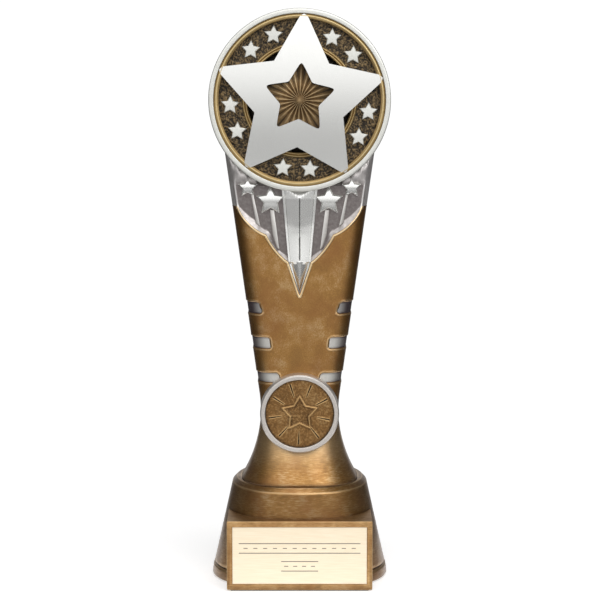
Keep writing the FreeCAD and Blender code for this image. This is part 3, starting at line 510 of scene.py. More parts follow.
def skin_columns():
    """Where each column of vertices runs round the section, anticlockwise from the left front.

    The rows are: place across, how far the column points across on a corner, 0 at the front
    to 1 at the back, and how far it points back (+) or forward (-)."""
    kink_2, kink_1 = (x / (half_width(z) - NECK_CORNER) for x, z in (KINK_2, KINK_1))
    half = np.concatenate([np.linspace(0, kink_2, 12, endpoint=False),
                           np.linspace(kink_2, kink_1, 20, endpoint=False),
                           np.linspace(kink_1, 1, 12, endpoint=False)])
    front = [(share, 0.0, 0.0, -1.0) for share in np.concatenate([-half[:0:-1], half])]
    right = [(1.0, math.cos(angle), 0.0, -math.sin(angle))
             for angle in np.radians(np.linspace(90, 0, 17))]
    right += [(1.0, 1.0, share, 0.0) for share in np.linspace(0, 1, 10)[1:-1]]
    right += [(1.0, math.cos(angle), 1.0, math.sin(angle))
              for angle in np.radians(np.linspace(0, 90, 13))]
    back = [(share, 0.0, 1.0, 1.0) for share in np.linspace(1, -1, 40)[1:-1]]
    left = [(-across, -corner, side, depth) for across, corner, side, depth in reversed(right)]
    return np.array(front + right + back + left).T


AX, BX, SIDE, BY = skin_columns()
FRONT_COLUMNS = (SIDE == 0) & (BY < -1e-6)


def on_front(front, elsewhere=0.0):
    """One value on the front columns, another elsewhere."""
    return np.where(FRONT_COLUMNS, front, elsewhere)


def skin(z):
    """Points (columns, 3) of the column's skin, one height for each column."""
    z = np.broadcast_to(np.asarray(z, float), AX.shape)
    corner = corner_radius(z)
    width = half_width(z) - corner
    front = FRONT + swell(z) - corner
    back = BACK + swell(z) - corner
    x = AX * width + BX * corner
    y = -front * (1 - SIDE) + back * SIDE + BY * corner
    y = y + on_front(FRONT_CROWNING * (x / half_width(z)) ** 2)
    return np.column_stack([x, y, z])


def dome_skin(z):
    """The skin above the spring of the rounded top, whose edge is an arc about the roundel."""
    rise = z - ROUNDEL_Z
    reach = min(NECK_CORNER, DOME_RADIUS - abs(rise))
    edge = reach * (1 - np.abs(BX))
    edge_x = np.sqrt(np.maximum((DOME_RADIUS - edge) ** 2 - rise ** 2, DOME_CREST ** 2))
    flat_x = math.sqrt(max((DOME_RADIUS - reach) ** 2 - rise ** 2, DOME_CREST ** 2))
    on_flat = np.abs(BX) < 1e-9
    x = np.where(on_flat, AX * flat_x, np.sign(BX) * edge_x)
    depth = np.sqrt(np.maximum(NECK_CORNER ** 2 - (NECK_CORNER - edge) ** 2, 0.0))
    depth = np.where(on_flat, math.sqrt(max(NECK_CORNER ** 2 - (NECK_CORNER - reach) ** 2, 0.0)), depth)
    front, back = FRONT - NECK_CORNER, BACK - NECK_CORNER
    y = -front * (1 - SIDE) + back * SIDE + np.sign(BY) * depth
    y = np.where(np.abs(BY) < 1e-6, -front * (1 - SIDE) + back * SIDE, y)
    return np.column_stack([x, y, np.full(len(AX), z)])


def scallop(x, outer, inner, radius):
    """Height of an arc that hangs between two points and bulges down."""
    outer, inner = np.array(outer), np.array(inner)
    chord = outer - inner
    length = np.hypot(*chord)
    up = np.array([-chord[1], chord[0]]) / length
    centre = (outer + inner) / 2 + up * math.sqrt(radius ** 2 - (length / 2) ** 2)
    return centre[1] - np.sqrt(np.maximum(radius ** 2 - (x - centre[0]) ** 2, 0.0))


def v_height(x):
    """Height of the V outline over a distance from the middle."""
    x = np.abs(np.asarray(x, float))
    straight = TIP[1] + (KINK_2[1] - TIP[1]) * x / KINK_2[0]
    lower = scallop(x, KINK_1, KINK_2, LOWER_SCALLOP)
    upper = scallop(x, OUTLINE_END, KINK_1, UPPER_SCALLOP)
    height = np.where(x < KINK_2[0], straight, np.where(x < KINK_1[0], lower, upper))
    return np.where(x >= OUTLINE_END[0], SHOULDER_Z, np.minimum(height, SHOULDER_Z))


def v_line():
    """The V outline as a fine polyline, left end to right end."""
    half = np.concatenate([np.linspace(0, KINK_2[0], 4, endpoint=False),
                           np.linspace(KINK_2[0], KINK_1[0], 16, endpoint=False),
                           np.linspace(KINK_1[0], OUTLINE_END[0], 20)])
    across = np.concatenate([-half[:0:-1], half])
    return np.column_stack([across, v_height(across)])


V_LINE = v_line()


def boundary_heights():
    """Height of the gold and silver joint on every column of the skin.

    A column's place across depends on its height, so the two are settled in steps."""
    z = np.full(len(AX), SHOULDER_Z)
    for step in range(40):
        x = skin(z)[:, 0]
        z = on_front(v_height(x), SHOULDER_Z)
    return z


JOINT_Z = boundary_heights()


def slot_mask(x, z):
    """Signed distance into the nearest slot seen from the front; positive inside."""
    best = np.full(np.shape(x), -1e9)
    for top_end, bottom_end, top, bottom in SLOTS.values():
        share = (z - bottom) / (top - bottom)
        inner = bottom_end + (top_end - bottom_end) * np.clip(share, -0.2, 1.2)
        level_gap = np.minimum(top - z, z - bottom)
        end_gap = (np.abs(x) - inner) * 0.97
        corner_gap = SLOT_CORNER - np.hypot(np.maximum(SLOT_CORNER - level_gap, 0),
                                            np.maximum(SLOT_CORNER - end_gap, 0))
        inside = np.minimum(np.minimum(level_gap, end_gap), corner_gap)
        best = np.maximum(best, inside)
    return best


# ---------------- gold column

LIP_HEIGHT = 0.28
LIP_WIDTH = 1.25
LIP_START = 77.0
TURNED_LOW, TURNED_HIGH = 66.0, 84.0
JOINT_GAP = 0.02
# painted shade on faces that sit out of sight: the wall of the V pocket, the crown's tongue and the closed
# ends
HIDDEN_SHADE = 0.8

# slots get shallower round the side of the column
DEPTH_SHARE = 1.0 - (1.0 - SIDE_DEPTH_SHARE) * smooth(0.5, 1.0, np.abs(BX))


def build_column():
    """The gold column: slots, lips and the wall of the V are pushed in or out of its skin."""
    stack = Stack()
    start = TIP[1] - 1.6
    heights = [*np.linspace(FOOT_Z, LIP_START, 52, endpoint=False),
               *np.linspace(LIP_START, start, 104, endpoint=False)]
    heights += [start + (JOINT_Z - start) * share for share in 1 - (1 - np.linspace(0, 1, 100)) ** 1.35]
    for height in heights:
        points = skin(height)
        x, z = points[:, 0], points[:, 2]
        slot = slot_mask(x, z)
        cut = smooth(-0.12, 0.28, slot)
        lip = bump_shape(-0.5, 0.9, slot)
        away = segment_distance(np.column_stack([x, z]), V_LINE)
        v_lip = on_front(bump_shape(0.42, LIP_WIDTH, away))
        v_fall = on_front(1 - smooth(0.0, 0.3, away))
        push = LIP_HEIGHT * v_lip - 0.15 * v_fall + DEPTH_SHARE * (0.16 * lip - SLOT_DEPTH * cut)
        points[:, 0] += push * BX
        points[:, 1] += push * BY
        worn = np.maximum(0.95 * smooth(0.1, 0.6, v_lip), 0.4 * lip)
        shade = np.maximum(cut * (1 - smooth(0.3, 0.9, slot)) * 0.8,
                           0.7 * (1 - smooth(FOOT_Z, FOOT_Z + 1.6, z)))
        ring_gap = np.hypot(x, z - MEDALLION_Z) - MEDALLION_RADIUS
        under = FRONT_COLUMNS & (z < MEDALLION_Z + 4)
        shade = np.maximum(shade, 0.75 * under * (1 - smooth(0.0, 2.2, ring_gap)))
        shade = np.maximum(shade, 0.2 * smooth(0.25, 1.0, np.abs(BX)) * (z > FOOT_Z))
        # the dark mark is painted shade (slots, under the medallion, foot bottom, sides); the light mark is
        # the rubbed lips plus a painted highlight band round the foot
        stack.add(points, shade - worn * 0.4, np.maximum(worn, 0.3 * bump_shape(57.0, 26.0, z)))
    # wall of the V pocket: back from the outline, then up behind the silver tongue
    last = stack.rings[-1]
    for share in (0.35, 0.7, 1.0):
        ring = last.copy()
        shrink = on_front(1.0, 1 - 0.02 * share)
        ring[:, 1] = on_front(last[:, 1] * (1 - share) - TONGUE_BACK * share,
                              last[:, 1] * shrink)
        ring[:, 0] *= shrink
        stack.add(ring, HIDDEN_SHADE)
    stack.add(np.column_stack([ring[:, 0] * 0.98, ring[:, 1], np.full(len(AX), SHOULDER_Z - JOINT_GAP)]),
              HIDDEN_SHADE)
    height = loft_rings(stack.rings)[0][:, 2]
    stack.finish("gold_column", "column_body", GOLD, "antique_gold", (HIDDEN_SHADE, 0.0),
                 (HIDDEN_SHADE, 0.0), turned=1 - smooth(TURNED_LOW, TURNED_HIGH, height))


# ---------------- silver crown

# width of the bevel along the V outline, against the distance from the middle
BEVEL_WIDTHS = np.array([(0.0, 0.3), (3.4, 0.3), (4.3, 1.5), (6.0, 1.2), (8.1, 0.7), (8.3, 0.25),
                         (10.9, 0.25), (11.4, 1.4), (13.0, 1.5), (15.1, 1.6), (17.1, 2.6),
                         (21.0, 1.6), (24.0, 0.4), (30.0, 0.3)])
V_TOP = 157.0


def crown_front(x, z, skin_y):
    """The crown's front surface: recessed floor, bevels up to the outline, side lips."""
    away = segment_distance(np.column_stack([x, z]), V_LINE)
    width = np.interp(np.abs(x), BEVEL_WIDTHS[:, 0], BEVEL_WIDTHS[:, 1])
    rise = np.clip(1 - away / width, 0, 1)
    floor_y = -FLOOR_FRONT - rise * np.minimum(1.35, 0.3 + 0.5 * width)
    ridge = OUTLINE_END[0] + TAPER * (z - SHOULDER_Z)
    inside = ridge - np.abs(x)
    y = np.where(inside > 0, floor_y, skin_y)
    y = y - 0.3 * bump_shape(0.1, 0.7, inside)
    return y, rise, inside


def build_crown():
    """The silver crown: a tongue behind the gold V, the recessed V floor and the rounded top."""
    stack = Stack()
    joint = skin(JOINT_Z)
    behind = on_front(-TONGUE_BACK, joint[:, 1] * 0.97)
    above = SHOULDER_Z + JOINT_GAP
    stack.add(np.column_stack([joint[:, 0] * 0.97, behind, np.full(len(AX), above)]), HIDDEN_SHADE)
    stack.add(np.column_stack([joint[:, 0], on_front(-TONGUE_BACK, joint[:, 1]),
                               on_front(JOINT_Z, above)]), HIDDEN_SHADE)
    for share in np.linspace(0, 1, 112):
        z = JOINT_Z + (V_TOP - JOINT_Z) * share
        points = skin(z)
        x, y = points[:, 0], points[:, 1]
        new_y, rise, inside = crown_front(x, z, y)
        points[:, 1] = on_front(new_y, y)
        ridge = on_front(bump_shape(0.1, 0.8, inside))
        dark = np.where(FRONT_COLUMNS & (inside > 0.3), 0.62 * (1 - smooth(0.0, 0.15, rise)), 0.1)
        # bright: rubbed side lips, plus painted highlight on the bevels, off the front and outside the lips
        bright = on_front(np.maximum(0.95 * ridge, 0.22 * smooth(0.0, 0.2, rise)), 0.35)
        bright = np.maximum(bright, 0.5 * smooth(0.2, 0.9, -inside))
        stack.add(points, dark - bright, bright)
    spring = ROUNDEL_Z - DOME_RADIUS * math.sin(math.atan(TAPER))
    # the rows above the V and over the rounded top carry a painted highlight
    for z in np.linspace(V_TOP, spring, 12)[1:-1]:
        points = skin(z)
        near = FRONT_COLUMNS & (np.hypot(points[:, 0], z - ROUNDEL_Z) < RIM_RADIUS - 0.4)
        points[near, 1] = np.maximum(points[near, 1], -ROUNDEL_BACK)
        stack.add(points, 0.1, 0.35)
    start = math.asin((spring - ROUNDEL_Z) / DOME_RADIUS)
    for angle in np.linspace(start, math.pi / 2 * 0.995, 30):
        points = dome_skin(ROUNDEL_Z + DOME_RADIUS * math.sin(angle))
        points[FRONT_COLUMNS, 1] = np.maximum(points[FRONT_COLUMNS, 1], -ROUNDEL_BACK)
        stack.add(points, 0.1, 0.35)
    stack.finish("silver_crown", "column_crown", AGED_SILVER, "aged_silver", (HIDDEN_SHADE, 0.0),
                 (0.4, 0.0))


# how much darker each strip is painted overall, darkest on the upper strip
STRIP_DARKNESS = {"upper_side_inlays": 0.45, "middle_side_inlays": 0.15, "lower_side_inlays": 0.05}
STRIP_TUCK = 0.25


def build_inlays():
    """Silver strips in the floors of the slots, wrapped round each side of the column."""
    right = (AX >= 0) & ~((SIDE == 1) & (AX <= 0))
    order = np.where(right & (np.abs(skin(100.0)[:, 0]) > 0))[0]
    for node, (top_end, bottom_end, top, bottom) in SLOTS.items():
        rings = []
        for z in np.linspace(bottom - STRIP_TUCK, top + STRIP_TUCK, 10):
            share = (z - bottom) / (top - bottom)
            inner_end = bottom_end + (top_end - bottom_end) * share - 0.3
            sheets = []
            for inset in (INLAY_DEPTH, SLOT_DEPTH + 0.15):
                points = skin(z)
                points[:, 0] -= inset * DEPTH_SHARE * BX
                points[:, 1] -= inset * DEPTH_SHARE * BY
                points[:, 0] = np.maximum(points[:, 0], inner_end)
                sheets.append(points[order])
            rings.append(np.concatenate([sheets[0], sheets[1][::-1]]))
        vertices, faces = loft_open(rings)
        columns = len(rings[0])
        for start in (0, len(vertices) - columns):
            for c in range(columns // 2 - 1):
                quad = (start + c, start + c + 1, start + columns - 2 - c, start + columns - 1 - c)
                faces.append(quad if start else quad[::-1])
        points, faces = merge([(vertices, faces), mirrored((vertices, faces))])
        edge_gap = np.minimum(points[:, 2] - bottom, top - points[:, 2])
        reach = np.abs(points[:, 0]) / half_width(points[:, 2])
        # painted shade along the slot walls and towards the column's sides
        grime = 0.35 * (1 - smooth(0.2, 0.9, edge_gap)) + 0.75 * smooth(0.72, 0.97, reach)
        add_piece(node + "_strips", node, STRIP_SILVER, "aged_silver", (points, faces),
                  np.clip(grime + STRIP_DARKNESS[node], 0, 1))


# ---------------- stars

def star_reach(angle, tip, notch, soften=0.0):
    """Distance to a star's edge in a direction, clockwise from its top tip; soften rounds corners."""
    turn = np.mod(angle, math.radians(72))
    turn = np.minimum(turn, math.radians(72) - turn)
    half = math.radians(36)
    if soften:
        turn = np.hypot(turn, soften)
        turn = half - np.hypot(np.maximum(half - turn, 0.0), soften * 1.4)
    x1, z1 = 0.0, tip
    x2, z2 = notch * math.sin(half), notch * math.cos(half)
    edge = np.array([x2 - x1, z2 - z1])
    normal = np.array([edge[1], -edge[0]])
    offset = normal @ np.array([x1, z1])
    return offset / (normal[0] * np.sin(turn) + normal[1] * np.cos(turn))


def star_angles(per_side):
    """Directions round a star that hit every tip and notch."""
    corner = np.arange(10) * math.radians(36)
    steps = np.arange(per_side) / per_side * math.radians(36)
    return (corner[:, None] + steps[None, :]).ravel()


def star_outline(angles, tip, notch, shrink=0.0, soften=0.0):
    """Points (x, z) of a star whose sides are moved in by shrink."""
    half = math.radians(36)
    edge = np.array([notch * math.sin(half), notch * math.cos(half) - tip])
    length = np.hypot(*edge)
    side_distance = abs(edge[0] * (-tip)) / length
    scale = (side_distance - shrink) / side_distance
    reach = star_reach(angles, tip * scale, notch * scale, soften)
    return np.column_stack([reach * np.sin(angles), reach * np.cos(angles)])


def turned_flat(flat, turn):
    """Points (x, z) turned clockwise."""
    x, z = flat.T
    return np.column_stack([x * math.cos(turn) + z * math.sin(turn),
                            z * math.cos(turn) - x * math.sin(turn)])


def add_stars(name, node, material, centres, tip, back, front, bevel, crowning, turn=0.0, lip=0.0):
    """Bevelled and domed stars on the plane y = -back; lip is a rolled edge round the foot."""
    angles = star_angles(6)
    levels = [(0.0, back - 0.05)]
    if lip:
        levels += [(0.0, back + lip), (0.08, back + lip + 0.08), (0.2, back + lip),
                   (0.23, back + lip * 0.5)]
    base = levels[-1][0]
    levels += [(base, front - bevel), (base + bevel * 0.45, front - bevel * 0.35),
               (base + bevel, front)]
    flats = [(star_outline(angles, tip, tip * 0.5, shrink), level) for shrink, level in levels]
    inner = flats[-1][0]
    flats += [(inner * scale, front) for scale in (0.8, 0.6, 0.4, 0.2)]
    rings = []
    for flat, level in flats:
        flat = turned_flat(flat, turn)
        domed = level > back + 1.2 * lip + 0.1
        rings.append(flat_ring(flat, domed * crowning * (flat[:, 1] / tip) ** 2 - level))
    star, faces = loft_rings(rings)
    shape = merge([(star + [x, 0, z], faces) for x, z in centres])
    over = -shape[0][:, 1] - back
    wear_and_highlight = 0.8 * ((over > lip * 0.6) & (over < lip * 1.25))
    add_piece(name, node, material, "satin_silver", shape, 0.0, wear_and_highlight, sharp=28)


SMALL_STAR_RADIUS, SMALL_STAR_TIP, SMALL_STAR_TURN = 26.75, 3.8, math.radians(2.6)
PAIR_START, PAIR_STEP, PAIR_HALF = 38.8, 72, 11.2


def build_stars():
    bearings = np.radians([PAIR_START + PAIR_STEP * pair + side * PAIR_HALF
                           for pair in range(5) for side in (-1, 1)])
    add_stars("ten_small_stars", "small_stars", PALE_SILVER,
              circle(SMALL_STAR_RADIUS, bearings, ROUNDEL_Z), SMALL_STAR_TIP, 18.1, 19.9, 0.3, 0.12,
              turn=SMALL_STAR_TURN)
    for node, x, z, tip in (("outer_relief_stars", 20.1, 156.3, 4.1),
                            ("inner_relief_stars", 11.25, 151.2, 5.9)):
        add_stars(node + "_domed", node, SILVER, [(-x, z), (x, z)], tip, FLOOR_FRONT,
                  FLOOR_FRONT + 2.3, 0.2, 1.3, lip=0.55)


# ---------------- prisms with bevelled edges

def inset_loop(loop, amount):
    """Move a closed loop (n, 2), walked anticlockwise, inward by an amount, mitred."""
    before = np.roll(loop, 1, axis=0)
    after = np.roll(loop, -1, axis=0)
    first = loop - before
    second = after - loop
    first /= np.hypot(*first.T)[:, None]
    second /= np.hypot(*second.T)[:, None]
    normal_1 = np.column_stack([-first[:, 1], first[:, 0]])
    normal_2 = np.column_stack([-second[:, 1], second[:, 0]])
    mitre = normal_1 + normal_2
    mitre /= np.maximum(np.sum(mitre * normal_1, axis=1), 0.25)[:, None]
    return loop + mitre * amount


def bevelled_prism(loops, back, front, bevel, steps=2):
    """A plate seen from the front: loops of (x, z), the outer one anticlockwise, holes clockwise."""
    profile = [(0.0, back), (0.0, front - bevel)]
    for angle in np.linspace(0, math.pi / 2, steps + 1)[1:]:
        profile.append((bevel * (1 - math.cos(angle)), front - bevel * (1 - math.sin(angle))))
    sleeves = [loft_open([flat_ring(inset_loop(loop, inset), -level) for inset, level in profile])
               for loop in loops]
    vertices, faces = merge(sleeves)
    ends = np.cumsum([len(points) for points, own in sleeves])
    for outward in (-1, 1):
        order, flats = [], []
        for loop, end in zip(loops, ends):
            first = end - len(loop) if outward < 0 else end - len(loop) * len(profile)
            own = range(first, first + len(loop))
            order += own
            flats.append([Vector((vertices[i][0], vertices[i][2], 0)) for i in own])
        for triangle in tessellate_polygon(flats):
            a, b, c = (order[t] for t in triangle)
            looks = np.cross(vertices[b] - vertices[a], vertices[c] - vertices[a])[1]
            faces.append((a, b, c) if looks * outward > 0 else (a, c, b))
    return vertices, faces


STAR_TIP, STAR_NOTCH, STAR_TRIM = 34.8, 17.9, 32.87
WINDOW_TIP, WINDOW_NOTCH, WINDOW_RISE = 14.6, 7.6, 0.6
STAR_BACK, STAR_FRONT, STAR_DOME = 18.3, 22.6, 1.5


def build_large_star():
    """Domed plate: rings of points run from the trimmed star edge in to the window."""
    angles = star_angles(14)
    outside = star_outline(angles, STAR_TIP, STAR_NOTCH)
    reach = np.hypot(*outside.T)
    outside = outside * (np.minimum(reach, STAR_TRIM) / reach)[:, None]
    inside = star_outline(angles, WINDOW_TIP, WINDOW_NOTCH, 0.0, 0.045) + [0.0, WINDOW_RISE]
    loops = [(outside, STAR_BACK, 0.0)]
    loops += [(outside + (inside - outside) * share, STAR_FRONT, STAR_DOME)
              for share in np.linspace(0, 1, 10)]
    loops.append((inside, STAR_BACK, 0.0))
    rings = []
    for flat, level, dome in loops:
        fall = dome * np.sum(flat ** 2, axis=1) / STAR_TRIM ** 2
        rings.append(flat_ring(turned_flat(flat, ROUNDEL_TURN) + [0, ROUNDEL_Z], fall - level))
    add_piece("large_star_plate", "large_star", SILVER, "satin_silver", loft_loop(rings), sharp=30)


BURST_TIP, BURST_NOTCH, BURST_FRONT, BURST_BACK = 15.0, 8.0, 20.6, 16.0
BURST_RIDGES = 24


def build_sunburst():
    """Star-shaped insert with radial ridges; its rings run from the rim in to the middle."""
    angles = full_turn(BURST_RIDGES * 10)[::-1]
    edge = star_reach(angles, BURST_TIP, BURST_NOTCH)
    wave = 2 * np.abs(np.mod(angles * BURST_RIDGES / math.pi, 2.0) - 1.0) - 1.0
    low = 1 - smooth(-1.0, -0.35, wave)
    stack = Stack()
    for share in np.append(np.linspace(1.0, 0.06, 26), 0.02):
        reach = edge * share
        ridge = 0.4 * smooth(0.1, 3.5, reach) * (wave - 1)
        sink = 0.9 * smooth(3.0, 13.0, reach)
        flat = circle(reach, angles + ROUNDEL_TURN, ROUNDEL_Z)
        if not stack.rings:
            stack.add(flat_ring(flat, -BURST_BACK), 1.0)
        # dark: wash in the grooves, plus painted shadow towards the window's edge and on the outer wall;
        # bright: lighter crests, fading where the painted shadow falls
        dark = low * smooth(0.1, 2.0, reach) * 0.85 + 0.6 * smooth(6.0, 12.5, reach)
        bright = smooth(0.3, 1.0, wave) * 0.6 * (1 - smooth(5.0, 12.0, reach))
        stack.add(flat_ring(flat, sink - ridge - BURST_FRONT), dark, bright)
    stack.finish("sunburst_star", "sunburst_insert", BURST_BRONZE, "disc_bronze", (1, 0), (0.2, 0.4))


# ---------------- roundel rings and field

def turned_piece(name, node, material, slot, corners, centre_z, round_by, shade):
    """A ring turned about a front-to-back axis; corners are a loop of (radius, y)."""
    angles = full_turn(192)
    rings = [flat_ring(circle(radius, angles, centre_z), y)
             for radius, y in soften_loop(corners, round_by, 4)]
    points, faces = loft_loop(rings)
    dark, bright = shade(np.hypot(points[:, 0], points[:, 2] - centre_z), points)
    add_piece(name, node, material, slot, (points, faces), dark, bright, sharp=50)


def build_roundel_rings():
    back, front = -ROUNDEL_BACK, -RIM_FRONT
    rim = [(33.05, back), (33.05, front + 0.1), (33.3, front), (34.3, front),
           (34.75, front + 0.12), (RIM_RADIUS, front + 0.45), (RIM_RADIUS, back)]
    # the rim's outer edge is darkened: painted shade
    turned_piece("silver_rim", "roundel_rim", PALE_SILVER, "satin_silver", rim, ROUNDEL_Z, 0.18,
                 lambda radius, points: (0.5 * smooth(34.85, 35.0, radius), 0.0))
    for name, node, slot, inner, outer, crest, ridges, depth in (
            ("gold_bead", "bead_ring", "bright_gold", 31.1, 32.98, -21.2, 1, 0.75),
            ("bronze_ring", "inner_ring", "disc_bronze", 20.14, 22.04, -19.2, 2, 0.9)):
        turned_piece(name, node, BRIGHT_GOLD, slot, ridge_profile(inner, outer, -18.2, crest, 0.5, ridges),
                     ROUNDEL_Z, 0.1, ridge_shade(inner, outer, ridges, depth, 0.3))


def ridge_profile(inner, outer, back, crest, dip, ridges):
    """Closed profile of a ring with round ridges, walked so that faces look out."""
    points = [(inner, back)]
    for share in np.linspace(0, 1, 25):
        wave = math.cos(2 * math.pi * (share * ridges - 0.5))
        points.append((inner + (outer - inner) * share, crest + dip * (0.5 - 0.5 * wave)))
    points.append((outer, back))
    return points


def ridge_shade(inner, outer, ridges, depth, shine):
    """Wash in the valleys, painted shade along the lower arc, and a painted highlight (shine) on the ridges.
    """
    def shade(radius, points):
        share = (radius - inner) / (outer - inner)
        wave = 0.5 + 0.5 * np.cos(2 * math.pi * (share * ridges - 0.5))
        low = np.clip(1 - wave * 2.2, 0, 1)
        height = (points[:, 2] - ROUNDEL_Z) / outer
        lower_arc = 0.45 * (1 - smooth(-0.95, 0.1, height))
        return np.maximum(depth * low, lower_arc), shine * smooth(0.5, 1.0, wave)
    return shade


WELL_RADIUS, WELL_FRONT = 20.15, 16.0
FIELD_RADIUS, FIELD_FRONT = 33.0, 18.2


def build_field():
    """Backing of the roundel: dark well, stippled field and a plain back."""
    angles = full_turn(480)
    stack = Stack()
    for radius in np.concatenate([np.linspace(1.0, 19.8, 14), [20.0, 20.1],
                                  np.linspace(20.2, FIELD_RADIUS, 52)]):
        flat = circle(radius, angles, 0.0)
        stipple = value_noise(flat, 0.42, 3) * 0.5 + value_noise(flat, 0.27, 5) * 0.5
        bumps = smooth(0.3, 0.7, stipple)
        height = 0.22 if radius > WELL_RADIUS else 0.055
        y = (WELL_FRONT - FIELD_FRONT) * smooth(19.9, WELL_RADIUS, radius) - WELL_FRONT - height * bumps
        # the well is darkened as painted shade; the stipple's hollows take dark wash and its tops are rubbed
        # bright
        deep = 1 - smooth(19.9, 20.2, radius)
        stack.add(flat_ring(flat + [0, ROUNDEL_Z], y), 0.75 * deep + 0.7 * (1 - bumps) * (1 - deep),
                  0.5 * smooth(0.62, 0.95, bumps) * (1 - deep))
    stack.add_wall(-ROUNDEL_BACK, 0.4)
    stack.finish("stippled_backing", "roundel_body", DARK_BRONZE, "dark_bronze", (0.8, 0.0), (0.4, 0.0))


# ---------------- medallion

SEAT_Y, DISC_Y, DISC_BACK = -20.9, -22.4, -21.2
MEDAL_TIP, MEDAL_NOTCH = 6.9, 3.72
DISC_RADIUS = 13.3
RAY_COUNT, RAY_START, RAY_END = 9, 6.8, 12.1
FIRST_RAY = math.radians(22)


def build_medallion():
    front = -MEDALLION_FRONT
    ring = [(0.4, SEAT_Y), (13.4, SEAT_Y), (13.4, front + 0.2), (13.6, front), (14.9, front),
            (MEDALLION_RADIUS, front + 0.6), (MEDALLION_RADIUS, -10.0), (0.4, -10.0)]
    # the ring's outer wall is darkened towards the back: painted shade
    turned_piece("silver_ring", "medallion_holder", MEDAL_SILVER, "satin_silver", ring, MEDALLION_Z, 0.2,
                 lambda radius, points: (0.45 * smooth(15.0, 15.4, radius)
                                         * smooth(-20.0, -15.0, points[:, 1]), 0.0))


def build_disc():
    """Antique disc: star outline with a sunken inside and nine fluted rays."""
    angles = full_turn(360)
    bearings = np.radians(36 * np.arange(11))
    outline = circle(np.where(np.arange(11) % 2, MEDAL_NOTCH, MEDAL_TIP), bearings, 0.0)
    stack = Stack()
    for radius in np.linspace(0.15, DISC_RADIUS, 72):
        flat = circle(radius, angles, 0.0)
        line = segment_distance(flat, outline)
        inside = radius < star_reach(angles, MEDAL_TIP, MEDAL_NOTCH)
        ridge = bump_shape(0.0, 0.85, line)
        along = smooth(6.6, 7.1, radius) * (1 - smooth(11.8, 12.3, radius))
        half = np.interp(radius, [RAY_START, RAY_END], [0.22, 0.5])
        step = 2 * math.pi / RAY_COUNT
        off = (angles - FIRST_RAY + step / 2) % step - step / 2
        across = np.abs(off) * radius
        rays = bump_shape(half, 0.42, across) * along
        groove = (1 - smooth(half - 0.25, half, across)) * along
        pitting = value_noise(flat, 0.4, 11)
        level = (0.30 * ridge - 0.22 * (inside * smooth(0.2, 0.7, line)) + 0.24 * rays
                 - 0.18 * groove + 0.05 * pitting)
        dark = np.clip(0.95 * groove + 0.12 * inside * (1 - ridge) + 0.45 * smooth(12.3, DISC_RADIUS, radius)
                       + 0.45 * (1 - pitting) + 0.3 * bump_shape(0.7, 0.8, line), 0, 1)
        bright = 0.5 * np.maximum(ridge, 1.3 * rays) + 0.15 * smooth(0.6, 0.9, pitting)
        stack.add(flat_ring(flat + [0, MEDALLION_Z], DISC_Y - level),
                  dark - 0.6 * np.maximum(ridge, rays), bright)
    stack.add_wall(DISC_BACK, 1.0)
    stack.finish("antique_disc", "centre_disc", DISC_BRONZE, "disc_bronze", (0.3, 0.1), (1, 0))


# ---------------- blade and trails

BLADE_TOP, BLADE_HIP, BLADE_LOW, BLADE_TIP = 158.0, 152.3, KINK_2[1] + 0.2, TIP[1] + 1.0
LEDGE = 0.84


def build_blade():
    """Ridged blade with narrow side bevels, a hip facet at its top and a closing point."""
    def edge_height(z):
        return np.interp(z, [BLADE_TIP, BLADE_LOW, 142.0, 145.0, BLADE_HIP], [0.25, 1.9, 1.0, 0.95, 1.0])

    def ridge_height(z):
        return np.interp(z, [BLADE_TIP, BLADE_LOW, 138.0, 141.0, BLADE_HIP], [0.5, 3.2, 2.5, 2.4, 2.6])

    shares = np.concatenate([[-1.0, -0.985], np.linspace(-LEDGE - 0.01, LEDGE + 0.01, 43), [0.985, 1.0]])
    reach = np.abs(shares)
    stack = Stack()
    for z in sorted(set(np.linspace(BLADE_TIP, BLADE_LOW, 14)) | set(np.linspace(BLADE_LOW, BLADE_TOP, 44))):
        pointed = z < BLADE_LOW - 0.01
        edge, ridge = edge_height(z), ridge_height(z)
        x = shares * np.interp(z, [BLADE_TIP, BLADE_LOW, BLADE_TOP], [0.12, 4.35, 7.25])
        slope = np.where(reach > LEDGE, edge, edge + 0.35 + (ridge - edge - 0.35) * (1 - reach / LEDGE))
        if pointed:
            slope = ridge * np.interp(reach, [0, 0.12, 0.8, 1.0], [1.0, 0.95, 0.45, 0.6])
        if z > BLADE_HIP:
            slope = np.minimum(slope, ridge_height(BLADE_HIP) - 0.3 * (z - BLADE_HIP))
        slope = np.where(reach >= 1.0, 0.0, np.maximum(slope, 0.15))
        groove = 0.3 * bump_shape(0.0, 0.7, x) * (BLADE_LOW < z < BLADE_HIP)
        top = np.column_stack([x, groove - slope - FLOOR_FRONT, np.full(len(x), z)])
        under = top[-2:0:-1].copy()
        under[:, 1] = 0.3 - FLOOR_FRONT
        # shade: dark paint in the centre groove, painted shade towards the top and on the side walls
        shade = np.where(groove > 0.1, 1.0, 0.3 * smooth(129.0, 143.0, z) * (z < BLADE_HIP))
        shade = np.where(reach >= 0.99, 0.5, shade)
        # bright: painted highlight on the side ledges; on the point, painted highlight along its middle and
        # edges
        bright = 0.6 * (reach > LEDGE) * (reach < 0.97)
        if pointed:
            shade = 0.2 * bump_shape(0.45, 0.5, reach) * smooth(BLADE_TIP, BLADE_LOW - 3, z)
            bright = np.maximum(0.8 * smooth(0.72, 0.85, reach), 1 - smooth(0.14, 0.3, reach))
        stack.add(np.vstack([top, under]), np.append(shade, np.full(len(under), 0.5)),
                  np.append(bright, np.zeros(len(under))))
    stack.finish("ridged_blade", "centre_blade", SILVER, "satin_silver", (0.4, 0.0), (0.4, 0.0), sharp=12)


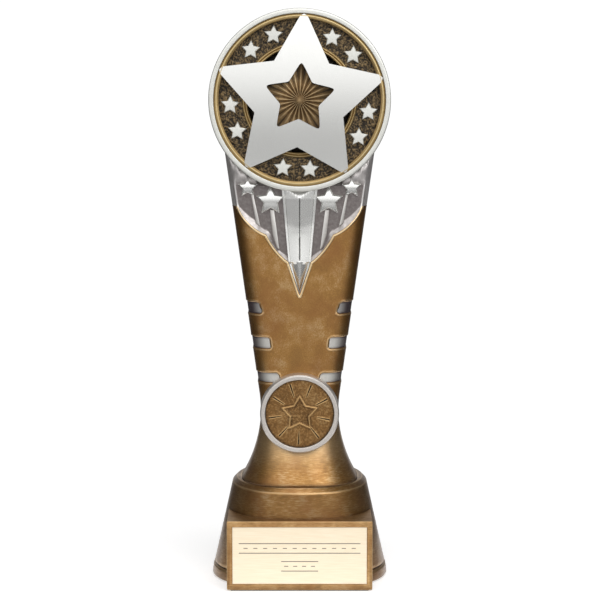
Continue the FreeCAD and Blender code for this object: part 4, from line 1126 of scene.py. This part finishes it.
# corners (x, z) of each trail on the right, anticlockwise; the first two are its bright edge
TRAILS = {
    "outer_star_trails": [(17.9, 153.6), (15.3, 141.3), (17.0, 142.6), (18.9, 153.6)],
    "inner_star_trails": [(9.9, 147.6), (7.9, 132.2), (9.0, 133.2), (10.5, 138.0), (11.6, 147.6)],
}


def build_trails():
    for node, corners in TRAILS.items():
        loop = np.array(corners, float)
        trail = bevelled_prism([loop], FLOOR_FRONT - 0.2, FLOOR_FRONT + 0.75, 0.28)
        points, faces = merge([trail, mirrored(trail)])
        away = segment_distance(np.column_stack([np.abs(points[:, 0]), points[:, 2]]), loop[:2])
        add_piece(node + "_bars", node, TRAIL_SILVER, "aged_silver", (points, faces), 0.0,
                  0.9 * (1 - smooth(0.2, 0.45, away)), sharp=28)


# ---------------- plinth, plaque and felt

PLAN_POWER = 2.2
DEPTH_SHIFT = 0.4
PLINTH_LOW_SIZE, PLINTH_TOP_SIZE, PLINTH_INNER = (34.1, 29.7), (26.95, 28.3), (22.5, 23.6)
RIM_TOP, GROOVE_TOP, ROUND_BY = 4.7, 5.5, 2.6


def oval_ring(width, depth, z):
    """A squarish oval at a height, with half its width and half its depth."""
    angles = full_turn(240) - math.pi / 2
    power = 2.0 / PLAN_POWER
    x = width * np.sign(np.cos(angles)) * np.abs(np.cos(angles)) ** power
    y = depth * np.sign(np.sin(angles)) * np.abs(np.sin(angles)) ** power + DEPTH_SHIFT
    return np.column_stack([x, y, np.full(len(angles), z)])


# the plinth's shoulder: inset from the wall, drop from the top, and how far it is rubbed bright
# (or, where negative, darkened)
SHOULDER = [(0.05, 2.3, 0.1), (0.22, 1.95, 0.35), (0.5, 1.62, -0.1), (1.06, 1.06, -0.12),
            (1.62, 0.5, -0.1), (1.95, 0.22, 0.45), (2.3, 0.04, 0.0), (2.6, 0.0, -0.2),
            (3.1, 0.0, 0.0), (3.6, 0.02, 0.35)]


def build_plinth():
    """Rows of half width, half depth, height, darkening and brightening: rim, groove, wall and shoulder."""
    top, base = PLINTH_HIGH[2], PLINTH_LOW[2]
    rows = [(34.0, 29.9, base, 0.8, 0.0), (34.7, 30.6, base + 0.05, 0.5, 0.2),
            (35.0, 30.9, base + 0.5, 0.6, 0.0), (34.9, 30.75, base + 1.6, 0.5, 0.0),
            (34.65, 30.5, RIM_TOP - 0.9, 0.45, 0.0), (34.5, 30.3, RIM_TOP - 0.3, 0.1, 0.2),
            (34.1, 29.95, RIM_TOP, 0.4, 0.2), (33.6, 29.4, RIM_TOP + 0.15, 0.8, 0.0),
            (33.5, 29.3, RIM_TOP + 0.4, 0.8, 0.0), (33.75, 29.4, GROOVE_TOP - 0.1, 0.6, 0.0),
            (34.05, 29.65, GROOVE_TOP + 0.15, 0.2, 0.2), (34.02, 29.68, GROOVE_TOP + 0.6, 0.1, 0.1)]
    for z in np.linspace(GROOVE_TOP + 1.4, top - ROUND_BY, 40):
        share = (z - GROOVE_TOP) / (top - ROUND_BY - GROOVE_TOP)
        width, depth = (low + (high - low) * share for low, high in zip(PLINTH_LOW_SIZE, PLINTH_TOP_SIZE))
        rows.append((width, depth, z, 0.3, 0.0))
    for inset, drop, glow in SHOULDER:
        width, depth = PLINTH_TOP_SIZE
        rows.append((width - inset, depth - inset, top - drop, max(-glow, 0), max(glow, 0)))
    rows.append((*PLINTH_INNER, top, 0.7, 0.0))
    stack = Stack()
    for width, depth, z, dark, bright in rows:
        ring = oval_ring(width, depth, z)
        x, y = ring[:, 0], ring[:, 1]
        gap = np.maximum(np.abs(x) - BLOCK_HIGH[0], z - BLOCK_HIGH[2])
        beside = (y < 0) & (z < BLOCK_HIGH[2] + 3)
        # painted shadow beside the plaque block and painted shade towards the sides
        shade = np.maximum(dark, 0.6 * beside * (1 - smooth(0.0, 1.6, gap)))
        shade = np.maximum(shade, 0.45 * smooth(0.6, 1.0, np.abs(x) / width))
        stack.add(ring, shade - bright * 0.5, bright)
    stack.finish("gold_plinth", "plinth", GOLD, "antique_gold", (0.8, 0.0), (0.7, 0.0), turned=1.0, sharp=50)


def rectangle(low, high, grow=0.0):
    """Corners (x, z) of a box seen from the front, anticlockwise."""
    x1, x2, z1, z2 = low[0] - grow, high[0] + grow, low[2] - grow, high[2] + grow
    return [(x1, z1), (x2, z1), (x2, z2), (x1, z2)]


def build_block():
    low, high, front = BLOCK_LOW, BLOCK_HIGH, -BLOCK_LOW[1]
    outer = soften_loop(rectangle(low, high), 0.5)
    window = soften_loop(rectangle(PLATE_LOW, PLATE_HIGH, 0.12)[::-1], 0.25)
    points, faces = merge([bevelled_prism([outer, window], front - 1.4, front, 0.4, 3),
                           bevelled_prism([outer], -high[1], front - 1.35, 0.02, 1)])
    x, y, z = points.T
    edge = np.minimum(high[0] - np.abs(x), np.minimum(z - low[2], high[2] - z))
    # darker towards the back and along the bottom
    grime = np.maximum(0.3 * smooth(0.3, 1.2, y + front), 0.5 * (1 - smooth(2.0, 3.0, z)))
    wear_and_highlight = 0.45 * (1 - smooth(0.0, 0.3, edge)) * (y < 0.5 - front)
    add_piece("plaque_frame", "plaque_block", FRAME_BRONZE, "frame_bronze", (points, faces), grime,
              wear_and_highlight, sharp=28)


# engraved rules: height of the row's middle, half length, half length of its dashes, dash count
RULE_ROWS = ((2.9, 23.6, 21.0, 12), (-4.2, 7.2, 5.2, 4))
RULE_GAP, RULE_HALF, DASH_HALF, RULE_DEPTH = 1.9, 0.17, 0.8, 0.12


def build_plate():
    """Cream plate with engraved rule lines in place of any wording."""
    front, back = PLATE_LOW[1], PLATE_HIGH[1]
    rules = []
    for rise, half, dash_reach, count in RULE_ROWS:
        z = (PLATE_LOW[2] + PLATE_HIGH[2]) / 2 + rise
        lines = [(-half, half, z + RULE_GAP), (-half, half, z - RULE_GAP)]
        lines += [(x - DASH_HALF, x + DASH_HALF, z) for x in np.linspace(-dash_reach, dash_reach, count)]
        rules += [(x1, x2, height - RULE_HALF, height + RULE_HALF) for x1, x2, height in lines]
    cuts_x = sorted({PLATE_LOW[0], PLATE_HIGH[0]} | {x for rule in rules for x in rule[:2]})
    cuts_z = sorted({PLATE_LOW[2], PLATE_HIGH[2]} | {z for rule in rules for z in rule[2:]})
    vertices, faces, dark = [], [], []

    def quad(corners, depths, shade):
        faces.append(tuple(range(len(vertices), len(vertices) + 4)))
        vertices.extend((x, y, z) for (x, z), y in zip(corners, depths))
        dark.extend([shade] * 4)

    def wall(start, end, far, shade):
        quad((start, end, end, start), (front, front, far, far), shade)

    cells = {}
    for i, (x1, x2) in enumerate(zip(cuts_x, cuts_x[1:])):
        for j, (z1, z2) in enumerate(zip(cuts_z, cuts_z[1:])):
            middle_x, middle_z = (x1 + x2) / 2, (z1 + z2) / 2
            hole = any(a < middle_x < b and c < middle_z < d for a, b, c, d in rules)
            cells[i, j] = hole
            y = front + RULE_DEPTH * hole
            quad(((x1, z1), (x2, z1), (x2, z2), (x1, z2)), (y, y, y, y), float(hole))
    for i, j in [cell for cell, hole in cells.items() if hole]:
        (x1, x2), (z1, z2) = cuts_x[i:i + 2], cuts_z[j:j + 2]
        corners = [(x1, z1), (x2, z1), (x2, z2), (x1, z2)]
        beside = [(i, j - 1), (i + 1, j), (i, j + 1), (i - 1, j)]
        for start, end, other in zip(corners, corners[1:] + corners[:1], beside):
            if not cells.get(other, False):
                wall(start, end, front + RULE_DEPTH, 1.0)
    outline = rectangle(PLATE_LOW, PLATE_HIGH)[::-1]
    for start, end in zip(outline, outline[1:] + outline[:1]):
        wall(start, end, back, 0.0)
    quad(outline, (back, back, back, back), 0.0)
    add_piece("cream_plate_ruled", "engraving_plate", CREAM, "plate_cream", (vertices, faces), dark,
              smooth_faces=False)


FELT_INSET, FELT_TONGUE = 0.007, 26.9


def build_felt():
    angles = full_turn(240)
    cos, sin = np.cos(angles), np.sin(angles)
    reach = 1 / np.hypot(cos / FELT_HIGH[0], sin / (FELT_HIGH[1] - DEPTH_SHIFT))
    with np.errstate(divide="ignore"):
        tongue = np.where(sin < 0, -FELT_LOW[1] / np.abs(sin), 0.0)
        reach = np.maximum(reach, np.minimum(FELT_TONGUE / np.abs(cos), tongue))
    rings = [np.column_stack([reach * scale * cos, reach * scale * sin, np.full(len(angles), z)])
             for scale, z in ((1 - FELT_INSET, 0.0), (1.0, 0.12), (1.0, FELT_HIGH[2] + 0.02))]
    add_piece("felt_pad", "base_felt", FELT, "felt", loft_rings(rings), grime=None, wear_and_highlight=None, sharp=40)


def dress_hidden_parts():
    """Fixings and adhesives keep their CAD shape."""
    for node, material in (("column_bolt", STEEL), ("bolt_washer", STEEL), ("foot_dowels", STEEL),
                           ("roundel_pins", STEEL), ("thread_insert", BRASS),
                           ("plate_adhesive", TAPE), ("disc_adhesive", TAPE)):
        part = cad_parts[node]
        part.data.materials.clear()
        part.data.materials.append(material)


# ---------------- studio

# brightness of the surroundings against the height of the direction, from straight down to up
HEIGHT_LEVELS = ((-1.0, 0.3), (-0.4, 0.35), (-0.26, 0.85), (-0.14, 0.30), (-0.07, 0.23), (0.035, 1.35),
                 (0.4, 1.5), (1.0, 0.9))
SIDE_LEVEL = 0.08
BACK_LEVEL = 0.5
FLOOR_GLOW = 0.5
FLOOR_RADIUS = 0.13
WHITE = (1.0, 1.0, 1.0, 1.0)


def add_softbox(name, place, size, power, target):
    """A square or oblong soft light aimed at a point of the object."""
    light = bpy.data.lights.new(name, "AREA")
    light.shape = "RECTANGLE"
    light.size, light.size_y = size
    light.energy = power
    lamp = bpy.data.objects.new(name, light)
    lamp.location = place
    lamp.rotation_euler = (Vector(target) - Vector(place)).to_track_quat("-Z", "Y").to_euler()
    bpy.context.scene.collection.objects.link(lamp)


def make_world():
    """White backdrop for the camera; the metal sees dim sides, a mid front and a bright top."""
    world = bpy.data.worlds.new("studio")
    bpy.context.scene.world = world
    world.use_nodes = True
    nodes = Nodes("studio", world.node_tree)
    nodes.tree.nodes.clear()
    place = nodes.add("ShaderNodeTexCoord", {}).outputs["Generated"]
    x, y, z = nodes.add("ShaderNodeSeparateXYZ", {"Vector": place}).outputs
    stops = [((height + 1) / 2, (level / 2, level / 2, level / 2, 1)) for height, level in HEIGHT_LEVELS]
    up = nodes.ramp(nodes.remap(z, -1.0, 1.0), stops)
    squares = [nodes.math("POWER", nodes.math("ABSOLUTE", axis), 2.0) for axis in (x, y)]
    run = nodes.math("SQRT", nodes.math("ADD", nodes.math("ADD", *squares), 0.03))
    bearing = nodes.math("DIVIDE", y, run)
    sides = nodes.remap(bearing, -0.78, -0.05, 2.0, 2.0 * SIDE_LEVEL, "SMOOTHSTEP")
    behind = nodes.remap(bearing, 0.84, 0.98, 0.0, BACK_LEVEL, "SMOOTHSTEP")
    level = nodes.math("ADD", nodes.math("MULTIPLY", sides, up), behind)
    lighting = nodes.add("ShaderNodeBackground", {"Color": WHITE, "Strength": level})
    backdrop = nodes.add("ShaderNodeBackground", {"Color": WHITE, "Strength": 1.05})
    seen = nodes.add("ShaderNodeLightPath", {}).outputs["Is Camera Ray"]
    choose = nodes.add("ShaderNodeMixShader", {0: seen, 1: lighting.outputs[0], 2: backdrop.outputs[0]})
    nodes.add("ShaderNodeOutputWorld", {"Surface": choose.outputs[0]})


def make_floor():
    mesh = bpy.data.meshes.new("floor")
    edge = flat_ring(circle(FLOOR_RADIUS, full_turn(96), 0.0), 0.0)[::-1, [0, 2, 1]]
    mesh.from_pydata(edge.tolist(), [], [tuple(range(len(edge)))])
    floor = bpy.data.objects.new("floor", mesh)
    bpy.context.scene.collection.objects.link(floor)
    nodes = Nodes("pale_floor")
    white = nodes.ramp(nodes.noise(3.0), [(0.3, (0.88, 0.88, 0.88, 1)), (0.7, (0.92, 0.92, 0.92, 1))])
    nodes.feed(nodes.shader, {"Base Color": white, "Roughness": 0.9, "Specular IOR Level": 0.0,
                              "Emission Color": WHITE, "Emission Strength": FLOOR_GLOW})
    mesh.materials.append(nodes.material)


def make_studio():
    scene = bpy.context.scene
    scene.view_settings.view_transform = "Standard"
    make_world()
    make_floor()
    add_softbox("key", (0.32, -0.62, 0.62), (0.45, 0.45), 0.9, (0, 0, 0.15))
    add_softbox("fill", (0.62, -0.45, 0.35), (0.4, 0.5), 0.45, (0, 0, 0.12))
    add_softbox("top", (0.0, -0.20, 0.75), (0.6, 0.4), 0.9, (0, 0, 0.1))

    camera_data = bpy.data.cameras.new("camera")
    camera_data.lens = LENS
    camera_data.sensor_width = 36.0
    camera = bpy.data.objects.new("camera", camera_data)
    camera.location = (CAMERA_SIDE, -CAMERA_DISTANCE, CAMERA_HEIGHT)
    camera.rotation_euler = (math.pi / 2 - CAMERA_PITCH, 0, 0)
    scene.collection.objects.link(camera)
    scene.camera = camera


build_column()
build_crown()
build_inlays()
build_stars()
build_large_star()
build_sunburst()
build_roundel_rings()
build_field()
build_medallion()
build_disc()
build_blade()
build_trails()
build_plinth()
build_block()
build_plate()
build_felt()
dress_hidden_parts()
make_studio()
